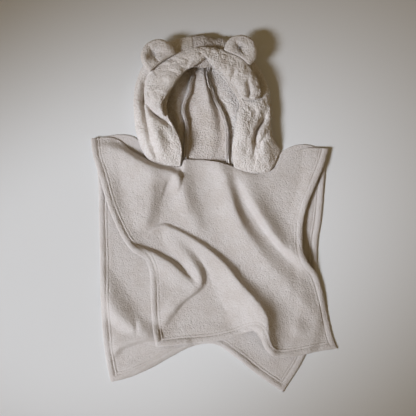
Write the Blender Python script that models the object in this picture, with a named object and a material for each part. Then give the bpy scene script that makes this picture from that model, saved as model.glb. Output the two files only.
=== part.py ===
# Hooded bath poncho in plush terry, laid out flat on its back with the hood opening upwards.
# The front panel is thrown over the back panel in folds; both are sewn at the shoulders and the neck.
# The hood is two side panels and a centre strip, with a turned-back brim and two dished ears.
# Every table is in millimetres: x to the right, y towards the hood, z up from the floor.

import math
from collections import namedtuple

import bpy
import numpy as np

MM = 0.001
CENTRE = (-1.5, 0.7, 0.0)   # middle of the laid-out garment, which stands at the origin
PANEL_SIZE = 590.0      # mean width and length of a laid-out body panel
CLOTH = 3.0             # one layer of terry with its pile
HALF = CLOTH / 2
FLOOR_LAYER = HALF      # middle of a cloth that lies on the floor
SEAM_END_GAP = 0.9      # between two walls that are sewn end to end along a curved edge
HEM_WIDTH = 24.0        # turned hem on the sides and the bottom of both panels
HEM_SOFT = 9.0          # width over which the hem's step fades
HEM_RISE = 1.2          # how much the turned hem adds to the wall
HEM_SPARE = 22.0        # how much further in the front panel clears the back's hem
DROP_START = 18.0       # how far past the back's edge the front stays up
DROP_END = 46.0         # how far past the back's edge the front reaches the floor
LOW_REACH = 0.55        # share of a flank's reach that is left where its crest runs out
KEEN = 1.25             # a sharp crest falls as 1 / (1 + (KEEN * distance)^2)^KEEN_FALL
KEEN_FALL = 1.6
SETTLE = 1.5            # softness with which a fold runs out into flat cloth
FRONT_GAP = 0.6         # between the front panel and the back panel that it lies on
SLOPE_LIFT = 0.5       # extra lift over a fold of the cloth below, as a share of its height
RESTING = 0.05          # cloth lower than this above the floor layer lies flat

BACK_CELLS = (22, 25)
FRONT_CELLS = (34, 38)
SIDE_CELLS = (18, 18)
COLUMN_CELLS = 3        # cells of a side panel between two columns of its table
FOOT_COLUMN = 1 * COLUMN_CELLS
FLOOR_COLUMN = 2 * COLUMN_CELLS
BEND_COLUMN = 3 * COLUMN_CELLS
TOP_COLUMN = 4 * COLUMN_CELLS
CENTRE_CELLS = 8
BRIM_CELLS = (40, 9)
RELAX_ROUNDS = 1500     # passes that spread a panel's inner points
CREST_SAMPLES = 60
EAR_SIDES = 26
EAR_RINGS = 8

EAR_LIFT = 52.0         # height of the plane that an ear is dished about
EAR_CLEAR = 1.4         # from the brim's outer edge to an ear's foot

CLOTH_COLOUR = (0.60, 0.545, 0.49, 1.0)

Fold = namedtuple("Fold", "name left right lean sharp crest")
Brim = namedtuple("Brim", "outer_x outer_y inner_x inner_y crest seat")
Middle = namedtuple("Middle", "x y z foot_z foot_in")
Ear = namedtuple("Ear", "x y radius")

# Edges of the back panel, x and y. The left and right edges run from the shoulder to the hem.
BACK_LEFT = [(-305, 182), (-297, 135), (-292, 85), (-290, -15), (-287, -115), (-285, -215),
             (-280, -302), (-272, -365), (-260, -420)]
BACK_RIGHT = [(277, 155), (275, 105), (271, 52), (265, -15), (257, -65), (255, -120), (257, -215),
              (245, -302), (222, -360), (170, -445)]
BACK_TOP = [(-305, 182), (-257, 197), (-202, 192), (-170, 160), (-132, 132), (-75, 115), (-20, 110),
            (37, 110), (100, 110), (137, 127), (165, 155), (197, 171), (237, 172), (277, 155)]
BACK_BOTTOM = [(-260, -420), (-210, -407), (-160, -385), (-107, -355), (-62, -332), (-32, -325),
               (-3, -325), (50, -357), (107, -402), (170, -445)]

# Edges of the front panel, in the same way.
FRONT_LEFT = [(-309, 187), (-303, 145), (-287, 92), (-272, 37), (-247, -27), (-219, -77),
              (-202, -95), (-179, -107), (-166, -132), (-161, -172), (-160, -222), (-155, -282),
              (-147, -331)]
FRONT_RIGHT = [(283, 162), (270, 120), (250, 72), (229, 20), (219, -22), (217, -55), (220, -97),
               (232, -122), (250, -142), (264, -177), (274, -217), (284, -264), (296, -311),
               (306, -336)]
FRONT_TOP = [(-309, 187), (-278, 191), (-254, 190), (-234, 181), (-221, 167), (-196, 150),
             (-162, 132), (-134, 121), (-102, 118), (-85, 119), (-77, 134), (-55, 135), (-25, 134),
             (7, 129), (37, 121), (67, 107), (102, 100), (134, 105), (161, 126), (181, 144),
             (204, 158), (236, 165), (283, 162)]
FRONT_BOTTOM = [(-147, -331), (-75, -324), (-5, -318), (62, -299), (95, -288), (115, -306),
                (134, -336), (152, -353), (177, -356), (244, -346), (306, -336)]

# A fold has a crest, with rows of x, y and its height above what the cloth lies on. Its flanks
# reach left and right of the crest, as walked, and it leans over to the left by its lean.
FRONT_FOLDS = [
    Fold("neck_roll_left", 20, 50, 0, 0.2,
         [(-287, 165, 6), (-254, 162, 15), (-226, 151, 19), (-196, 134, 22), (-161, 117, 22),
          (-131, 107, 21), (-107, 104, 20), (-92, 94, 16), (-92, 75, 9)]),
    Fold("broad_left", 35, 50, 0, 0.2,
         [(-242, 110, 4), (-202, 65, 9), (-169, 20, 11), (-162, -20, 6)]),
    Fold("neck_ridge", 19, 22, 0, 0.4,
         [(-77, 129, 12), (-77, 90, 14), (-70, 55, 14), (-60, 20, 11), (-45, -15, 6),
          (-27, -50, 2)]),
    Fold("long_ridge", 28, 42, 0, 0.4,
         [(-20, 134, 12), (-5, 89, 18), (20, 45, 20), (52, 0, 21), (87, -42, 20), (124, -89, 20),
          (161, -134, 19), (194, -176, 16), (224, -214, 10), (252, -254, 4)]),
    Fold("sharp_ridge", 38, 15, 0, 0.6,
         [(70, 80, 3), (85, 55, 10), (109, 8, 17), (136, -40, 18), (171, -77, 16),
          (206, -104, 13), (236, -124, 11)]),
    Fold("great_fold", 20, 55, 2, 0.3,
         [(-162, -50, 3), (-137, -37, 8), (-107, -42, 11), (-77, -57, 14), (-42, -74, 17),
          (-5, -102, 19), (32, -136, 22), (69, -175, 25), (101, -215, 27), (116, -239, 28),
          (121, -272, 26), (126, -312, 22)]),
    Fold("edge_fold", 18, 30, 1, 0.4,
         [(-207, -92, 10), (-179, -94, 13), (-147, -104, 14), (-117, -122, 14), (-87, -149, 12),
          (-67, -177, 8), (-57, -199, 3)]),
    Fold("tongue", 20, 25, 0, 0.3,
         [(-112, -60, 3), (-77, -87, 6), (-47, -122, 8), (-35, -159, 8), (-52, -189, 6),
          (-87, -219, 3)]),
    Fold("lower_lobe", 30, 18, 0, 0.2,
         [(-92, -204, 3), (-117, -244, 6), (-132, -289, 6), (-142, -327, 5)]),
    Fold("hem_right", 12, 35, 0, 0.2,
         [(229, -110, 6), (257, -144, 8), (272, -194, 8), (287, -264, 7), (299, -324, 4)]),
    Fold("neck_edge", 20, 24, 0, 0.2,
         [(-82, 130, 3), (-55, 128, 6), (-25, 127, 6), (7, 122, 6), (40, 112, 5), (72, 98, 2)]),
    Fold("shoulder_right", 18, 40, 0, 0.2,
         [(52, 105, 4), (97, 85, 8), (142, 90, 8), (187, 120, 6), (242, 145, 3)]),
    Fold("armhole_right", 30, 25, 0, 0.2,
         [(277, 155, 4), (262, 110, 8), (239, 60, 9), (217, -2, 10), (207, -52, 9), (212, -95, 8)]),
    Fold("armhole_left", 25, 20, 0, 0.2,
         [(-307, 180, 4), (-297, 140, 6), (-279, 85, 7), (-259, 22, 7), (-232, -45, 8),
          (-209, -85, 10)]),
]
BACK_FOLDS = [
    Fold("lower_left_roll", 30, 18, 0, 0.4,
         [(-277, -339, 4), (-246, -316, 11), (-211, -301, 13), (-174, -291, 12), (-142, -284, 8)]),
    Fold("lower_left_hem", 18, 15, 0, 0.3,
         [(-257, -414, 2), (-212, -391, 7), (-162, -369, 8), (-112, -341, 8), (-72, -327, 5)]),
    Fold("left_strip", 20, 35, 0, 0.2,
         [(-282, -120, 2), (-257, -169, 7), (-217, -214, 8), (-187, -244, 7), (-162, -279, 3)]),
    Fold("lower_right", 22, 22, 0, 0.1,
         [(37, -327, 2), (57, -354, 5), (87, -389, 3)]),
]

# Sections of the hood's side panels from the neck (first row) to the crown (last row). The columns
# go round the panel: seam fin, its foot, the floor, the outer bend, the top, the middle, the rim.
HOOD_LEFT = [
    [(-75, 122, 6), (-79, 120, 1.5), (-145, 147, 1.5), (-184, 167, 9), (-161, 144, 12),
     (-121, 129, 14), (-86, 134, 14)],
    [(-75, 169, 14), (-78, 167, 1.5), (-162, 177, 1.5), (-194, 201, 22), (-165, 182, 40),
     (-123, 170, 43), (-82, 165, 36)],
    [(-72, 224, 15), (-75, 222, 1.5), (-167, 230, 1.5), (-199, 247, 26), (-169, 236, 42),
     (-137, 226, 44), (-101, 214, 39)],
    [(-82, 261, 15), (-85, 262, 1.5), (-170, 270, 1.5), (-200, 282, 27), (-172, 272, 41),
     (-147, 262, 42), (-116, 241, 40)],
    [(-70, 298, 14), (-73, 300, 1.5), (-167, 310, 1.5), (-195, 321, 27), (-170, 312, 40),
     (-147, 299, 42), (-118, 278, 41)],
    [(-62, 328, 12), (-65, 330, 1.5), (-155, 345, 1.5), (-181, 358, 27), (-158, 347, 39),
     (-135, 329, 41), (-106, 307, 41)],
    [(-61, 351, 9), (-64, 352, 1.5), (-125, 380, 1.5), (-156, 396, 25), (-135, 379, 37),
     (-116, 359, 40), (-88, 334, 41)],
    [(-61, 369, 6), (-66, 372, 1.5), (-92, 405, 1.5), (-112, 428, 23), (-99, 411, 35),
     (-86, 391, 39), (-70, 358, 41)],
    [(-59, 389, 4), (-61, 392, 1.5), (-60, 420, 1.5), (-57, 442, 20), (-54, 427, 33),
     (-52, 403, 39), (-52, 368, 41)],
]
HOOD_RIGHT = [
    [(34, 120, 6), (38, 117, 1.5), (104, 125, 1.5), (162, 162, 5), (136, 126, 12), (91, 112, 14),
     (47, 127, 14)],
    [(32, 164, 14), (35, 162, 1.5), (107, 170, 1.5), (143, 189, 23), (115, 170, 40), (81, 162, 43),
     (42, 163, 36)],
    [(30, 214, 15), (33, 215, 1.5), (107, 220, 1.5), (137, 218, 26), (110, 213, 45), (83, 213, 47),
     (50, 211, 42)],
    [(17, 255, 15), (20, 256, 1.5), (107, 258, 1.5), (138, 251, 27), (112, 251, 42), (88, 250, 43),
     (56, 250, 41)],
    [(2, 288, 14), (5, 290, 1.5), (105, 292, 1.5), (134, 287, 27), (110, 284, 40), (85, 279, 42),
     (59, 272, 41)],
    [(-8, 313, 13), (-5, 317, 1.5), (97, 325, 1.5), (127, 321, 27), (103, 315, 39), (78, 307, 41),
     (49, 295, 41)],
    [(-14, 331, 11), (-11, 335, 1.5), (82, 355, 1.5), (111, 354, 25), (88, 342, 38), (66, 332, 40),
     (34, 315, 41)],
    [(-18, 351, 8), (-14, 355, 1.5), (60, 385, 1.5), (84, 393, 24), (66, 377, 36), (46, 361, 40),
     (17, 337, 41)],
    [(-16, 369, 6), (-10, 372, 1.5), (35, 407, 1.5), (52, 421, 22), (39, 404, 34), (24, 384, 39),
     (2, 351, 41)],
    [(-8, 389, 4), (-5, 392, 1.5), (7, 417, 1.5), (17, 434, 20), (15, 419, 33), (7, 398, 39),
     (-8, 366, 41)],
]

# The centre strip from the nape over the crown to the rim, a row for each section of the side
# panels and then for each column of their last section: its middle, the height of the foot of its
# seam fins, and how far in from its edge the foot lies. Its long edges follow the side panels.
HOOD_CENTRE = [
    Middle(-18, 112, 1.5, 1.5, 4),
    Middle(-13, 165, 2.5, 1.5, 3),
    Middle(-15, 219, 5, 1.5, 3),
    Middle(-25, 258, 8, 1.5, 3),
    Middle(-30, 293, 10, 1.5, 3),
    Middle(-35, 322, 10, 1.5, 3),
    Middle(-37, 346, 8, 1.5, 3),
    Middle(-37, 366, 5, 1.5, 4),
    Middle(-33, 390, 2, 1.5, 6),
    Middle(-27, 420, 1.5, 1.5, 10),
    Middle(-22, 445, 20, 20, 12),
    Middle(-22, 428, 33, 33, 12),
    Middle(-24, 401, 39, 39, 10),
    Middle(-29, 363, 41, 41, 8),
]

FIN_SPACING = 4.2       # between the middles of the two fins that are sewn together

# The brim from the lower left lobe round to the lower right one: its outer edge, its inner edge,
# the height of its crest, and the height where it is sewn to the rim below.
HOOD_BRIM = [
    Brim(-140, 250, -124, 239, 54, 45.3),
    Brim(-159, 269, -130, 267, 56, 45.3),
    Brim(-169, 290, -122, 288, 60, 45.3),
    Brim(-167, 317, -105, 312, 61, 44.8),
    Brim(-159, 342, -93, 331, 61, 44.3),
    Brim(-139, 364, -81, 344, 61, 44.3),
    Brim(-110, 383, -69, 355, 60, 44.3),
    Brim(-83, 397, -52, 363, 60, 44.3),
    Brim(-57, 405, -35, 375, 60, 44.3),
    Brim(-37, 408, -22, 383, 59, 44.3),
    Brim(-15, 408, -14, 372, 60, 44.3),
    Brim(9, 404, -2, 359, 60, 44.3),
    Brim(34, 394, 15, 349, 60, 44.3),
    Brim(59, 383, 31, 329, 61, 44.3),
    Brim(80, 365, 46, 315, 61, 44.3),
    Brim(96, 342, 57, 303, 61, 44.8),
    Brim(107, 318, 62, 291, 59, 45.3),
    Brim(111, 296, 69, 284, 56, 45.3),
    Brim(102, 280, 80, 279, 52, 45.3),
]
# Across the brim: share of the way from the outer to the inner edge, share of the height from the
# seat to the crest.
BRIM_SECTION = [(0.0, 0.45), (0.2, 0.85), (0.5, 1.0), (0.85, 0.93), (1.0, 0.5), (0.86, 0.0)]

EARS = {"ear_left": Ear(-139, 385, 42.9), "ear_right": Ear(62, 398, 40.5)}
# Round an ear from the middle of its dish to the middle of its back: share of the radius, height.
EAR_SECTION = [(0.0, -2.0), (0.3, -1.0), (0.55, 4.0), (0.75, 9.0), (0.9, 8.0), (1.0, 1.0),
               (0.92, -5.0), (0.7, -6.5), (0.35, -6.5), (0.0, -6.5)]


def smooth(share):
    """Ease from 0 to 1."""
    share = np.clip(share, 0.0, 1.0)
    return share * share * (3.0 - 2.0 * share)


def through(points, knots, places):
    """Smooth curve through points at their knots, read at the given places."""
    points = np.asarray(points, float)
    rows = points.reshape(len(points), -1)
    span = np.diff(knots)
    chord = np.diff(rows, axis=0) / span[:, None]
    slope = np.empty_like(rows)
    slope[0], slope[-1] = chord[0], chord[-1]
    before, after = span[:-1, None], span[1:, None]
    slope[1:-1] = (chord[:-1] * after + chord[1:] * before) / (before + after)
    i = np.clip(np.searchsorted(knots, places, side="right") - 1, 0, len(span) - 1)
    w = ((places - knots[i]) / span[i])[:, None]
    h = span[i][:, None]
    start = (2 * w**3 - 3 * w**2 + 1) * rows[i] + (w**3 - 2 * w**2 + w) * h * slope[i]
    end = (3 * w**2 - 2 * w**3) * rows[i + 1] + (w**3 - w**2) * h * slope[i + 1]
    return (start + end).reshape(len(places), *points.shape[1:])


def along(points):
    """Place of each point along its polyline, from 0 to 1."""
    steps = np.linalg.norm(np.diff(np.asarray(points, float)[:, :2], axis=0), axis=1)
    reach = np.concatenate([[0.0], np.cumsum(steps)])
    return reach / reach[-1]


def edge_curve(points, places):
    return through(points, along(points), places)


def patch(left, right, top, bottom, across, down):
    """Plan points of a panel between its four edges, a row for each place down it."""
    side_l, side_r = edge_curve(left, down), edge_curve(right, down)
    side_t, side_b = edge_curve(top, across), edge_curve(bottom, across)
    u, v = across[None, :, None], down[:, None, None]
    between_sides = (1 - u) * side_l[:, None] + u * side_r[:, None]
    between_ends = (1 - v) * side_t[None] + v * side_b[None]
    corners = (1 - v) * ((1 - u) * side_t[0] + u * side_t[-1])
    corners = corners + v * ((1 - u) * side_b[0] + u * side_b[-1])
    return between_sides + between_ends - corners


def pull(places):
    """Weights of the lines before and after each inner line of a grid, by their distances."""
    before, after = np.diff(places)[:-1], np.diff(places)[1:]
    return 2 / (before * (before + after)), 2 / (after * (before + after))


def relaxed(plan, across, down):
    """Spread the inner points of a panel evenly between its edges, as a smooth cloth lies."""
    plan = plan.copy()
    left, right = (weight[None, :, None] for weight in pull(across))
    above, below = (weight[:, None, None] for weight in pull(down))
    for _ in range(RELAX_ROUNDS):
        sideways = left * plan[1:-1, :-2] + right * plan[1:-1, 2:]
        lengthwise = above * plan[:-2, 1:-1] + below * plan[2:, 1:-1]
        plan[1:-1, 1:-1] = (sideways + lengthwise) / (left + right + above + below)
    return plan


def spaced(sections, cells):
    """Knots of sections by their mean distances, and the places of evenly many cells in each."""
    steps = np.linalg.norm(np.diff(sections, axis=0), axis=-1).mean(axis=1)
    knots = np.concatenate([[0.0], np.cumsum(steps)])
    return knots, np.interp(np.linspace(0, len(steps), cells + 1), np.arange(len(knots)), knots)


def woven_rows(sections, cells):
    """Smooth surface through rows of section points, cells[0] by cells[1] faces."""
    rows = np.asarray(sections, float)
    lengthwise = through(rows, *spaced(rows, cells[0]))
    columns = np.swapaxes(lengthwise, 0, 1)
    surface = np.swapaxes(through(columns, *spaced(columns, cells[1])), 0, 1)
    surface[..., 2] = np.maximum(surface[..., 2], FLOOR_LAYER)
    return surface


def beside(plan, crest):
    """Distance of each plan point from a crest (positive on its left), its place and its side."""
    walk = edge_curve(crest, np.linspace(0, 1, CREST_SAMPLES))
    heading = np.gradient(walk, axis=0)
    heading /= np.linalg.norm(heading, axis=1)[:, None]
    flat = plan.reshape(-1, 2)
    nearest = np.full(len(flat), np.inf)
    offset = np.zeros(len(flat))
    place = np.zeros(len(flat))
    side = np.zeros((len(flat), 2))
    for i in range(len(walk) - 1):
        step = walk[i + 1] - walk[i]
        w = np.clip(((flat - walk[i]) @ step) / (step @ step), 0, 1)
        gap = flat - walk[i] - w[:, None] * step
        distance = np.hypot(gap[:, 0], gap[:, 1])
        tangent = heading[i] * (1 - w[:, None]) + heading[i + 1] * w[:, None]
        turn = tangent[:, 0] * gap[:, 1] - tangent[:, 1] * gap[:, 0]
        closer = distance < nearest
        nearest[closer] = distance[closer]
        offset[closer] = np.where(turn >= 0, distance, -distance)[closer]
        place[closer] = ((i + w) / (len(walk) - 1))[closer]
        side[closer] = np.stack([-tangent[:, 1], tangent[:, 0]], axis=1)[closer]
    shape = plan.shape[:-1]
    return offset.reshape(shape), place.reshape(shape), side.reshape(*shape, 2)


def folded(plan, folds):
    """Height that the folds give each plan point, and how far they lean it over."""
    height = np.zeros(plan.shape[:-1])
    lean = np.zeros_like(plan)
    for fold in folds:
        rows = np.asarray(fold.crest, float)
        offset, place, side = beside(plan, rows[:, :2])
        crest = through(rows[:, 2:], along(rows), place.reshape(-1)).reshape(place.shape)
        share = crest / rows[:, 2].max()
        widening = LOW_REACH + (1 - LOW_REACH) * np.clip(share, 0, 1)
        far = offset / (np.where(offset >= 0, fold.left, fold.right) * widening)
        keen = 1 / (1 + (KEEN * far) ** 2) ** KEEN_FALL
        flank = (1 - fold.sharp) * np.exp(-far**2) + fold.sharp * keen
        height += crest * flank
        lean += (fold.lean * share * flank)[..., None] * side
    return height, lean


def settled(height):
    """A fold's height, never below what the cloth lies on and eased into it."""
    eased = np.where(height < 2 * SETTLE, height**2 / (4 * SETTLE), height - SETTLE)
    return np.where(height <= 0, 0.0, eased)


def edge_distance(plan, points):
    """Distance of each plan point from a polyline."""
    flat = plan.reshape(-1, 2)
    nearest = np.full(len(flat), np.inf)
    corners = np.asarray(points, float)
    for a, b in zip(corners[:-1], corners[1:]):
        w = np.clip(((flat - a) @ (b - a)) / ((b - a) @ (b - a)), 0, 1)
        gap = flat - a - w[:, None] * (b - a)
        nearest = np.minimum(nearest, np.hypot(gap[:, 0], gap[:, 1]))
    return nearest.reshape(plan.shape[:-1])


def depth_inside(plan, outline):
    """Distance of each plan point from a closed outline, negative outside it."""
    corners = np.asarray(outline, float)
    flat = plan.reshape(-1, 2)
    within = np.zeros(len(flat), bool)
    for a, b in zip(corners, np.roll(corners, -1, axis=0)):
        if a[1] == b[1]:
            continue
        crosses = (a[1] > flat[:, 1]) != (b[1] > flat[:, 1])
        x = a[0] + (flat[:, 1] - a[1]) * (b[0] - a[0]) / (b[1] - a[1])
        within ^= crosses & (flat[:, 0] < x)
    distance = edge_distance(plan, np.vstack([corners, corners[:1]]))
    return np.where(within.reshape(distance.shape), distance, -distance)


def hem(plan, edges, spare=0.0):
    """Share of the hem's extra thickness at each plan point, reaching further in by spare."""
    distance = np.min([edge_distance(plan, edge) for edge in edges], axis=0)
    return smooth((HEM_WIDTH + HEM_SOFT + spare - distance) / HEM_SOFT)


def hemmed_places(cells, both_ends):
    """Places across a panel, with a line at the hem's step."""
    places = np.linspace(0, 1, cells + 1)
    hem_line = HEM_WIDTH / PANEL_SIZE
    plain_line = (HEM_WIDTH + 2 * HEM_SOFT) / PANEL_SIZE
    places[-2] = 1 - hem_line
    places[-3] = 1 - plain_line
    if both_ends:
        places[1] = hem_line
        places[2] = plain_line
    return places


def facing(grid):
    """Normal at each grid point: upwards on a panel whose rows run towards its hem."""
    normal = np.cross(np.gradient(grid, axis=0), np.gradient(grid, axis=1))
    return normal / np.linalg.norm(normal, axis=-1)[..., None]


def make_object(name, points, faces):
    mesh = bpy.data.meshes.new(name)
    mesh.from_pydata(((points - CENTRE) * MM).tolist(), [], faces)
    mesh.validate()
    mesh.shade_smooth()
    piece = bpy.data.objects.new(name, mesh)
    bpy.context.scene.collection.objects.link(piece)
    material = bpy.data.materials.new(name + "_terry")
    material.use_nodes = True
    shader = material.node_tree.nodes["Principled BSDF"]
    shader.inputs["Base Color"].default_value = CLOTH_COLOUR
    shader.inputs["Roughness"].default_value = 0.95
    mesh.materials.append(material)
    return piece


def wall(name, middle, rise=0.0, open_end=()):
    """Closed wall of cloth about a middle surface, thickened on its facing side by rise.

    The first row is a neck seam, where the wall's end stands upright, but for the columns
    of open_end, where it keeps square to the cloth.
    """
    normal = facing(middle)
    upright = np.array([k not in open_end for k in range(middle.shape[1])])
    normal[0] = np.where(upright[:, None], np.sign(normal[0, :, 2:]) * (0, 0, 1), normal[0])
    outer = middle + normal * (HALF + np.asarray(rise))[..., None]
    inner = middle - normal * HALF
    resting = middle[..., 2] < FLOOR_LAYER + RESTING
    for side, below in ((outer, normal[..., 2] < 0), (inner, normal[..., 2] > 0)):
        side[..., 2] = np.where(resting & below, 0.0, np.maximum(side[..., 2], 0.0))
    rows, columns = middle.shape[:2]
    index = np.arange(rows * columns).reshape(rows, columns)
    under = index + rows * columns
    faces = []
    for i in range(rows - 1):
        for j in range(columns - 1):
            quad = (index[i, j], index[i + 1, j], index[i + 1, j + 1], index[i, j + 1])
            faces.append(quad)
            faces.append(tuple(k + rows * columns for k in reversed(quad)))
    border = np.concatenate([index[:, 0], index[-1, 1:], index[-2::-1, -1], index[0, -2:0:-1]])
    for a, b in zip(border, np.roll(border, -1)):
        faces.append((b, a, under.flat[a], under.flat[b]))
    points = np.vstack([outer.reshape(-1, 3), inner.reshape(-1, 3)])
    return make_object(name, points, [tuple(int(k) for k in face) for face in faces])


def back_top(plan):
    """Top of the back panel's cloth at each plan point."""
    height, _ = folded(plan, BACK_FOLDS)
    rise = HEM_RISE * hem(plan, [BACK_LEFT, BACK_RIGHT, BACK_BOTTOM], HEM_SPARE)
    return settled(height) * (1 + SLOPE_LIFT) + CLOTH + rise


def back_panel():
    across = hemmed_places(BACK_CELLS[0], True)
    down = hemmed_places(BACK_CELLS[1], False)
    plan = patch(BACK_LEFT, BACK_RIGHT, BACK_TOP, BACK_BOTTOM, across, down)
    plan = relaxed(plan, across, down)
    height, _ = folded(plan, BACK_FOLDS)
    middle = np.dstack([plan, FLOOR_LAYER + settled(height)])
    rise = HEM_RISE * hem(plan, [BACK_LEFT, BACK_RIGHT, BACK_BOTTOM])
    wall("back_panel", middle, rise)
    return middle


def front_rest(plan):
    """Height at which the front panel's underside lies: on the back panel, or on the floor."""
    neck = [point for point in BACK_TOP if not -190 < point[0] < 190]
    outline = BACK_LEFT + BACK_BOTTOM[1:] + BACK_RIGHT[::-1][1:] + neck[::-1][1:-1]
    past_edge = depth_inside(plan, outline)
    held_up = smooth((past_edge + DROP_END) / (DROP_END - DROP_START))
    return held_up * (back_top(plan) + FRONT_GAP)


def front_panel():
    across = hemmed_places(FRONT_CELLS[0], True)
    down = hemmed_places(FRONT_CELLS[1], False)
    plan = patch(FRONT_LEFT, FRONT_RIGHT, FRONT_TOP, FRONT_BOTTOM, across, down)
    plan = relaxed(plan, across, down)
    height, lean = folded(plan, FRONT_FOLDS)
    plan = plan + lean
    middle = np.dstack([plan, front_rest(plan) + HALF + settled(height)])
    rise = HEM_RISE * hem(plan, [FRONT_LEFT, FRONT_RIGHT, FRONT_BOTTOM])
    wall("front_panel", middle, rise)
    return middle


def sew_to_edge(row, edge, columns):
    """Move a row's points to a panel's neck edge, SEAM_END_GAP clear of it."""
    for k in columns:
        x = row[k][0]
        row[k][1] = np.interp(x, edge[:, 0], edge[:, 1]) + SEAM_END_GAP
        row[k][2] = np.interp(x, edge[:, 0], edge[:, 2])


def keep_beyond(row, edge, columns):
    """Keep a row's points beyond a panel's neck edge."""
    for k in columns:
        least = np.interp(row[k][0], edge[:, 0], edge[:, 1]) + SEAM_END_GAP
        row[k][1] = max(row[k][1], least)


def hood_side(name, sections, back, front):
    """One side panel; its first section is sewn to the neck edges of the back and the front."""
    rows = [[list(point) for point in section] for section in sections]
    sew_to_edge(rows[0], back[0], (1, 2))
    sew_to_edge(rows[0], front[0], (4, 5, 6))
    middle = woven_rows(rows, SIDE_CELLS)
    keep_beyond(middle[0], back[0], range(BEND_COLUMN))
    keep_beyond(middle[0], front[0], range(BEND_COLUMN, TOP_COLUMN))
    sew_to_edge(middle[0], front[0], range(TOP_COLUMN, SIDE_CELLS[1] + 1))
    open_end = [k for k in range(TOP_COLUMN - 1) if not FOOT_COLUMN < k < BEND_COLUMN - 2]
    wall(name, middle, open_end=open_end)
    return middle


def seam_edge(side):
    """The edge that a side panel shares with the centre strip, from the nape to the rim."""
    return np.vstack([side[:, 0], side[-1, FLOOR_COLUMN:]])


def hood_centre(left, right, back):
    """Centre strip between the side panels' seam edges, carried over the crown to the rim."""
    apart = np.array([FIN_SPACING, 0.0, 0.0])
    edge_l = seam_edge(left) + apart
    edge_r = seam_edge(right) - apart
    lower = np.linspace(0, SIDE_CELLS[0], len(HOOD_LEFT))
    upper = SIDE_CELLS[0] + 1 + np.arange(0, SIDE_CELLS[1] - FLOOR_COLUMN + 1, COLUMN_CELLS)
    knots = np.concatenate([lower, upper])
    lines = through(HOOD_CENTRE, knots, np.arange(len(edge_l), dtype=float))
    rows = []
    for low, high, (x, y, z, foot_z, foot_in) in zip(edge_l, edge_r, lines):
        foot_l = (low[0] + foot_in, low[1], foot_z)
        foot_r = (high[0] - foot_in, high[1], foot_z)
        rows.append([low, foot_l, (x, y, z), foot_r, high])
    rows[0] = [list(point) for point in rows[0]]
    sew_to_edge(rows[0], back[0], (1, 2, 3))
    middle = woven_rows(rows, (len(rows) - 1, CENTRE_CELLS))
    keep_beyond(middle[0], back[0], range(CENTRE_CELLS + 1))
    wall("hood_centre", middle, open_end=(0, CENTRE_CELLS))


def hood_brim():
    rows = []
    for row in HOOD_BRIM:
        section = []
        for inward, up in BRIM_SECTION:
            x = row.outer_x + (row.inner_x - row.outer_x) * inward
            y = row.outer_y + (row.inner_y - row.outer_y) * inward
            section.append((x, y, row.seat + (row.crest - row.seat) * up))
        rows.append(section)
    middle = woven_rows(rows, BRIM_CELLS)
    wall("hood_brim", middle, open_end=range(BRIM_CELLS[1] + 1))


def ear_reach(ear, direction):
    """How far an ear spreads in one direction before it meets the brim's outer edge."""
    corners = [(row.outer_x, row.outer_y) for row in HOOD_BRIM]
    edge = edge_curve(corners, np.linspace(0, 1, CREST_SAMPLES))
    centre = np.array([ear.x, ear.y])
    reach = ear.radius
    for a, b in zip(edge[:-1], edge[1:]):
        matrix = np.array([direction, a - b]).T
        if abs(np.linalg.det(matrix)) < 1e-9:
            continue
        distance, share = np.linalg.solve(matrix, a - centre)
        if distance > 0 and 0 <= share <= 1:
            across = abs(np.linalg.det(matrix)) / np.linalg.norm(b - a)
            reach = min(reach, distance - EAR_CLEAR / across)
    return reach


def ear(name):
    """Dished ear, round but for its foot, which follows the brim's outer edge."""
    shape = EARS[name]
    scaled = [(share * shape.radius, height) for share, height in EAR_SECTION]
    places = np.linspace(0, 1, 2 * EAR_RINGS + 1)[1:-1]
    section = edge_curve(scaled, places) / (shape.radius, 1.0)
    points = []
    for k in range(EAR_SIDES):
        angle = 2 * math.pi * k / EAR_SIDES
        direction = np.array([math.cos(angle), math.sin(angle)])
        reach = ear_reach(shape, direction)
        for share, height in section:
            x, y = np.array([shape.x, shape.y]) + direction * reach * share
            points.append((x, y, EAR_LIFT + height))
    rings = len(section)
    dish_middle = len(points)
    back_middle = dish_middle + 1
    points.append((shape.x, shape.y, EAR_LIFT + EAR_SECTION[0][1]))
    points.append((shape.x, shape.y, EAR_LIFT + EAR_SECTION[-1][1]))
    faces = []
    for k in range(EAR_SIDES):
        here, there = k * rings, ((k + 1) % EAR_SIDES) * rings
        faces.append((dish_middle, here, there))
        for ring in range(rings - 1):
            faces.append((here + ring, here + ring + 1, there + ring + 1, there + ring))
        faces.append((back_middle, there + rings - 1, here + rings - 1))
    make_object(name, np.array(points), faces)


def build():
    for old in list(bpy.data.objects):
        bpy.data.objects.remove(old, do_unlink=True)
    back = back_panel()
    front = front_panel()
    left = hood_side("hood_side_left", HOOD_LEFT, back, front)
    right = hood_side("hood_side_right", HOOD_RIGHT, back, front)
    hood_centre(left, right, back)
    hood_brim()
    for name in EARS:
        ear(name)


build()
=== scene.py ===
# Hooded bath poncho in plush terry, laid out flat with the hood opening upwards.
# Tables are in millimetres: x to the right, y towards the hood, z up from the floor.

import math
from collections import namedtuple

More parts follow.
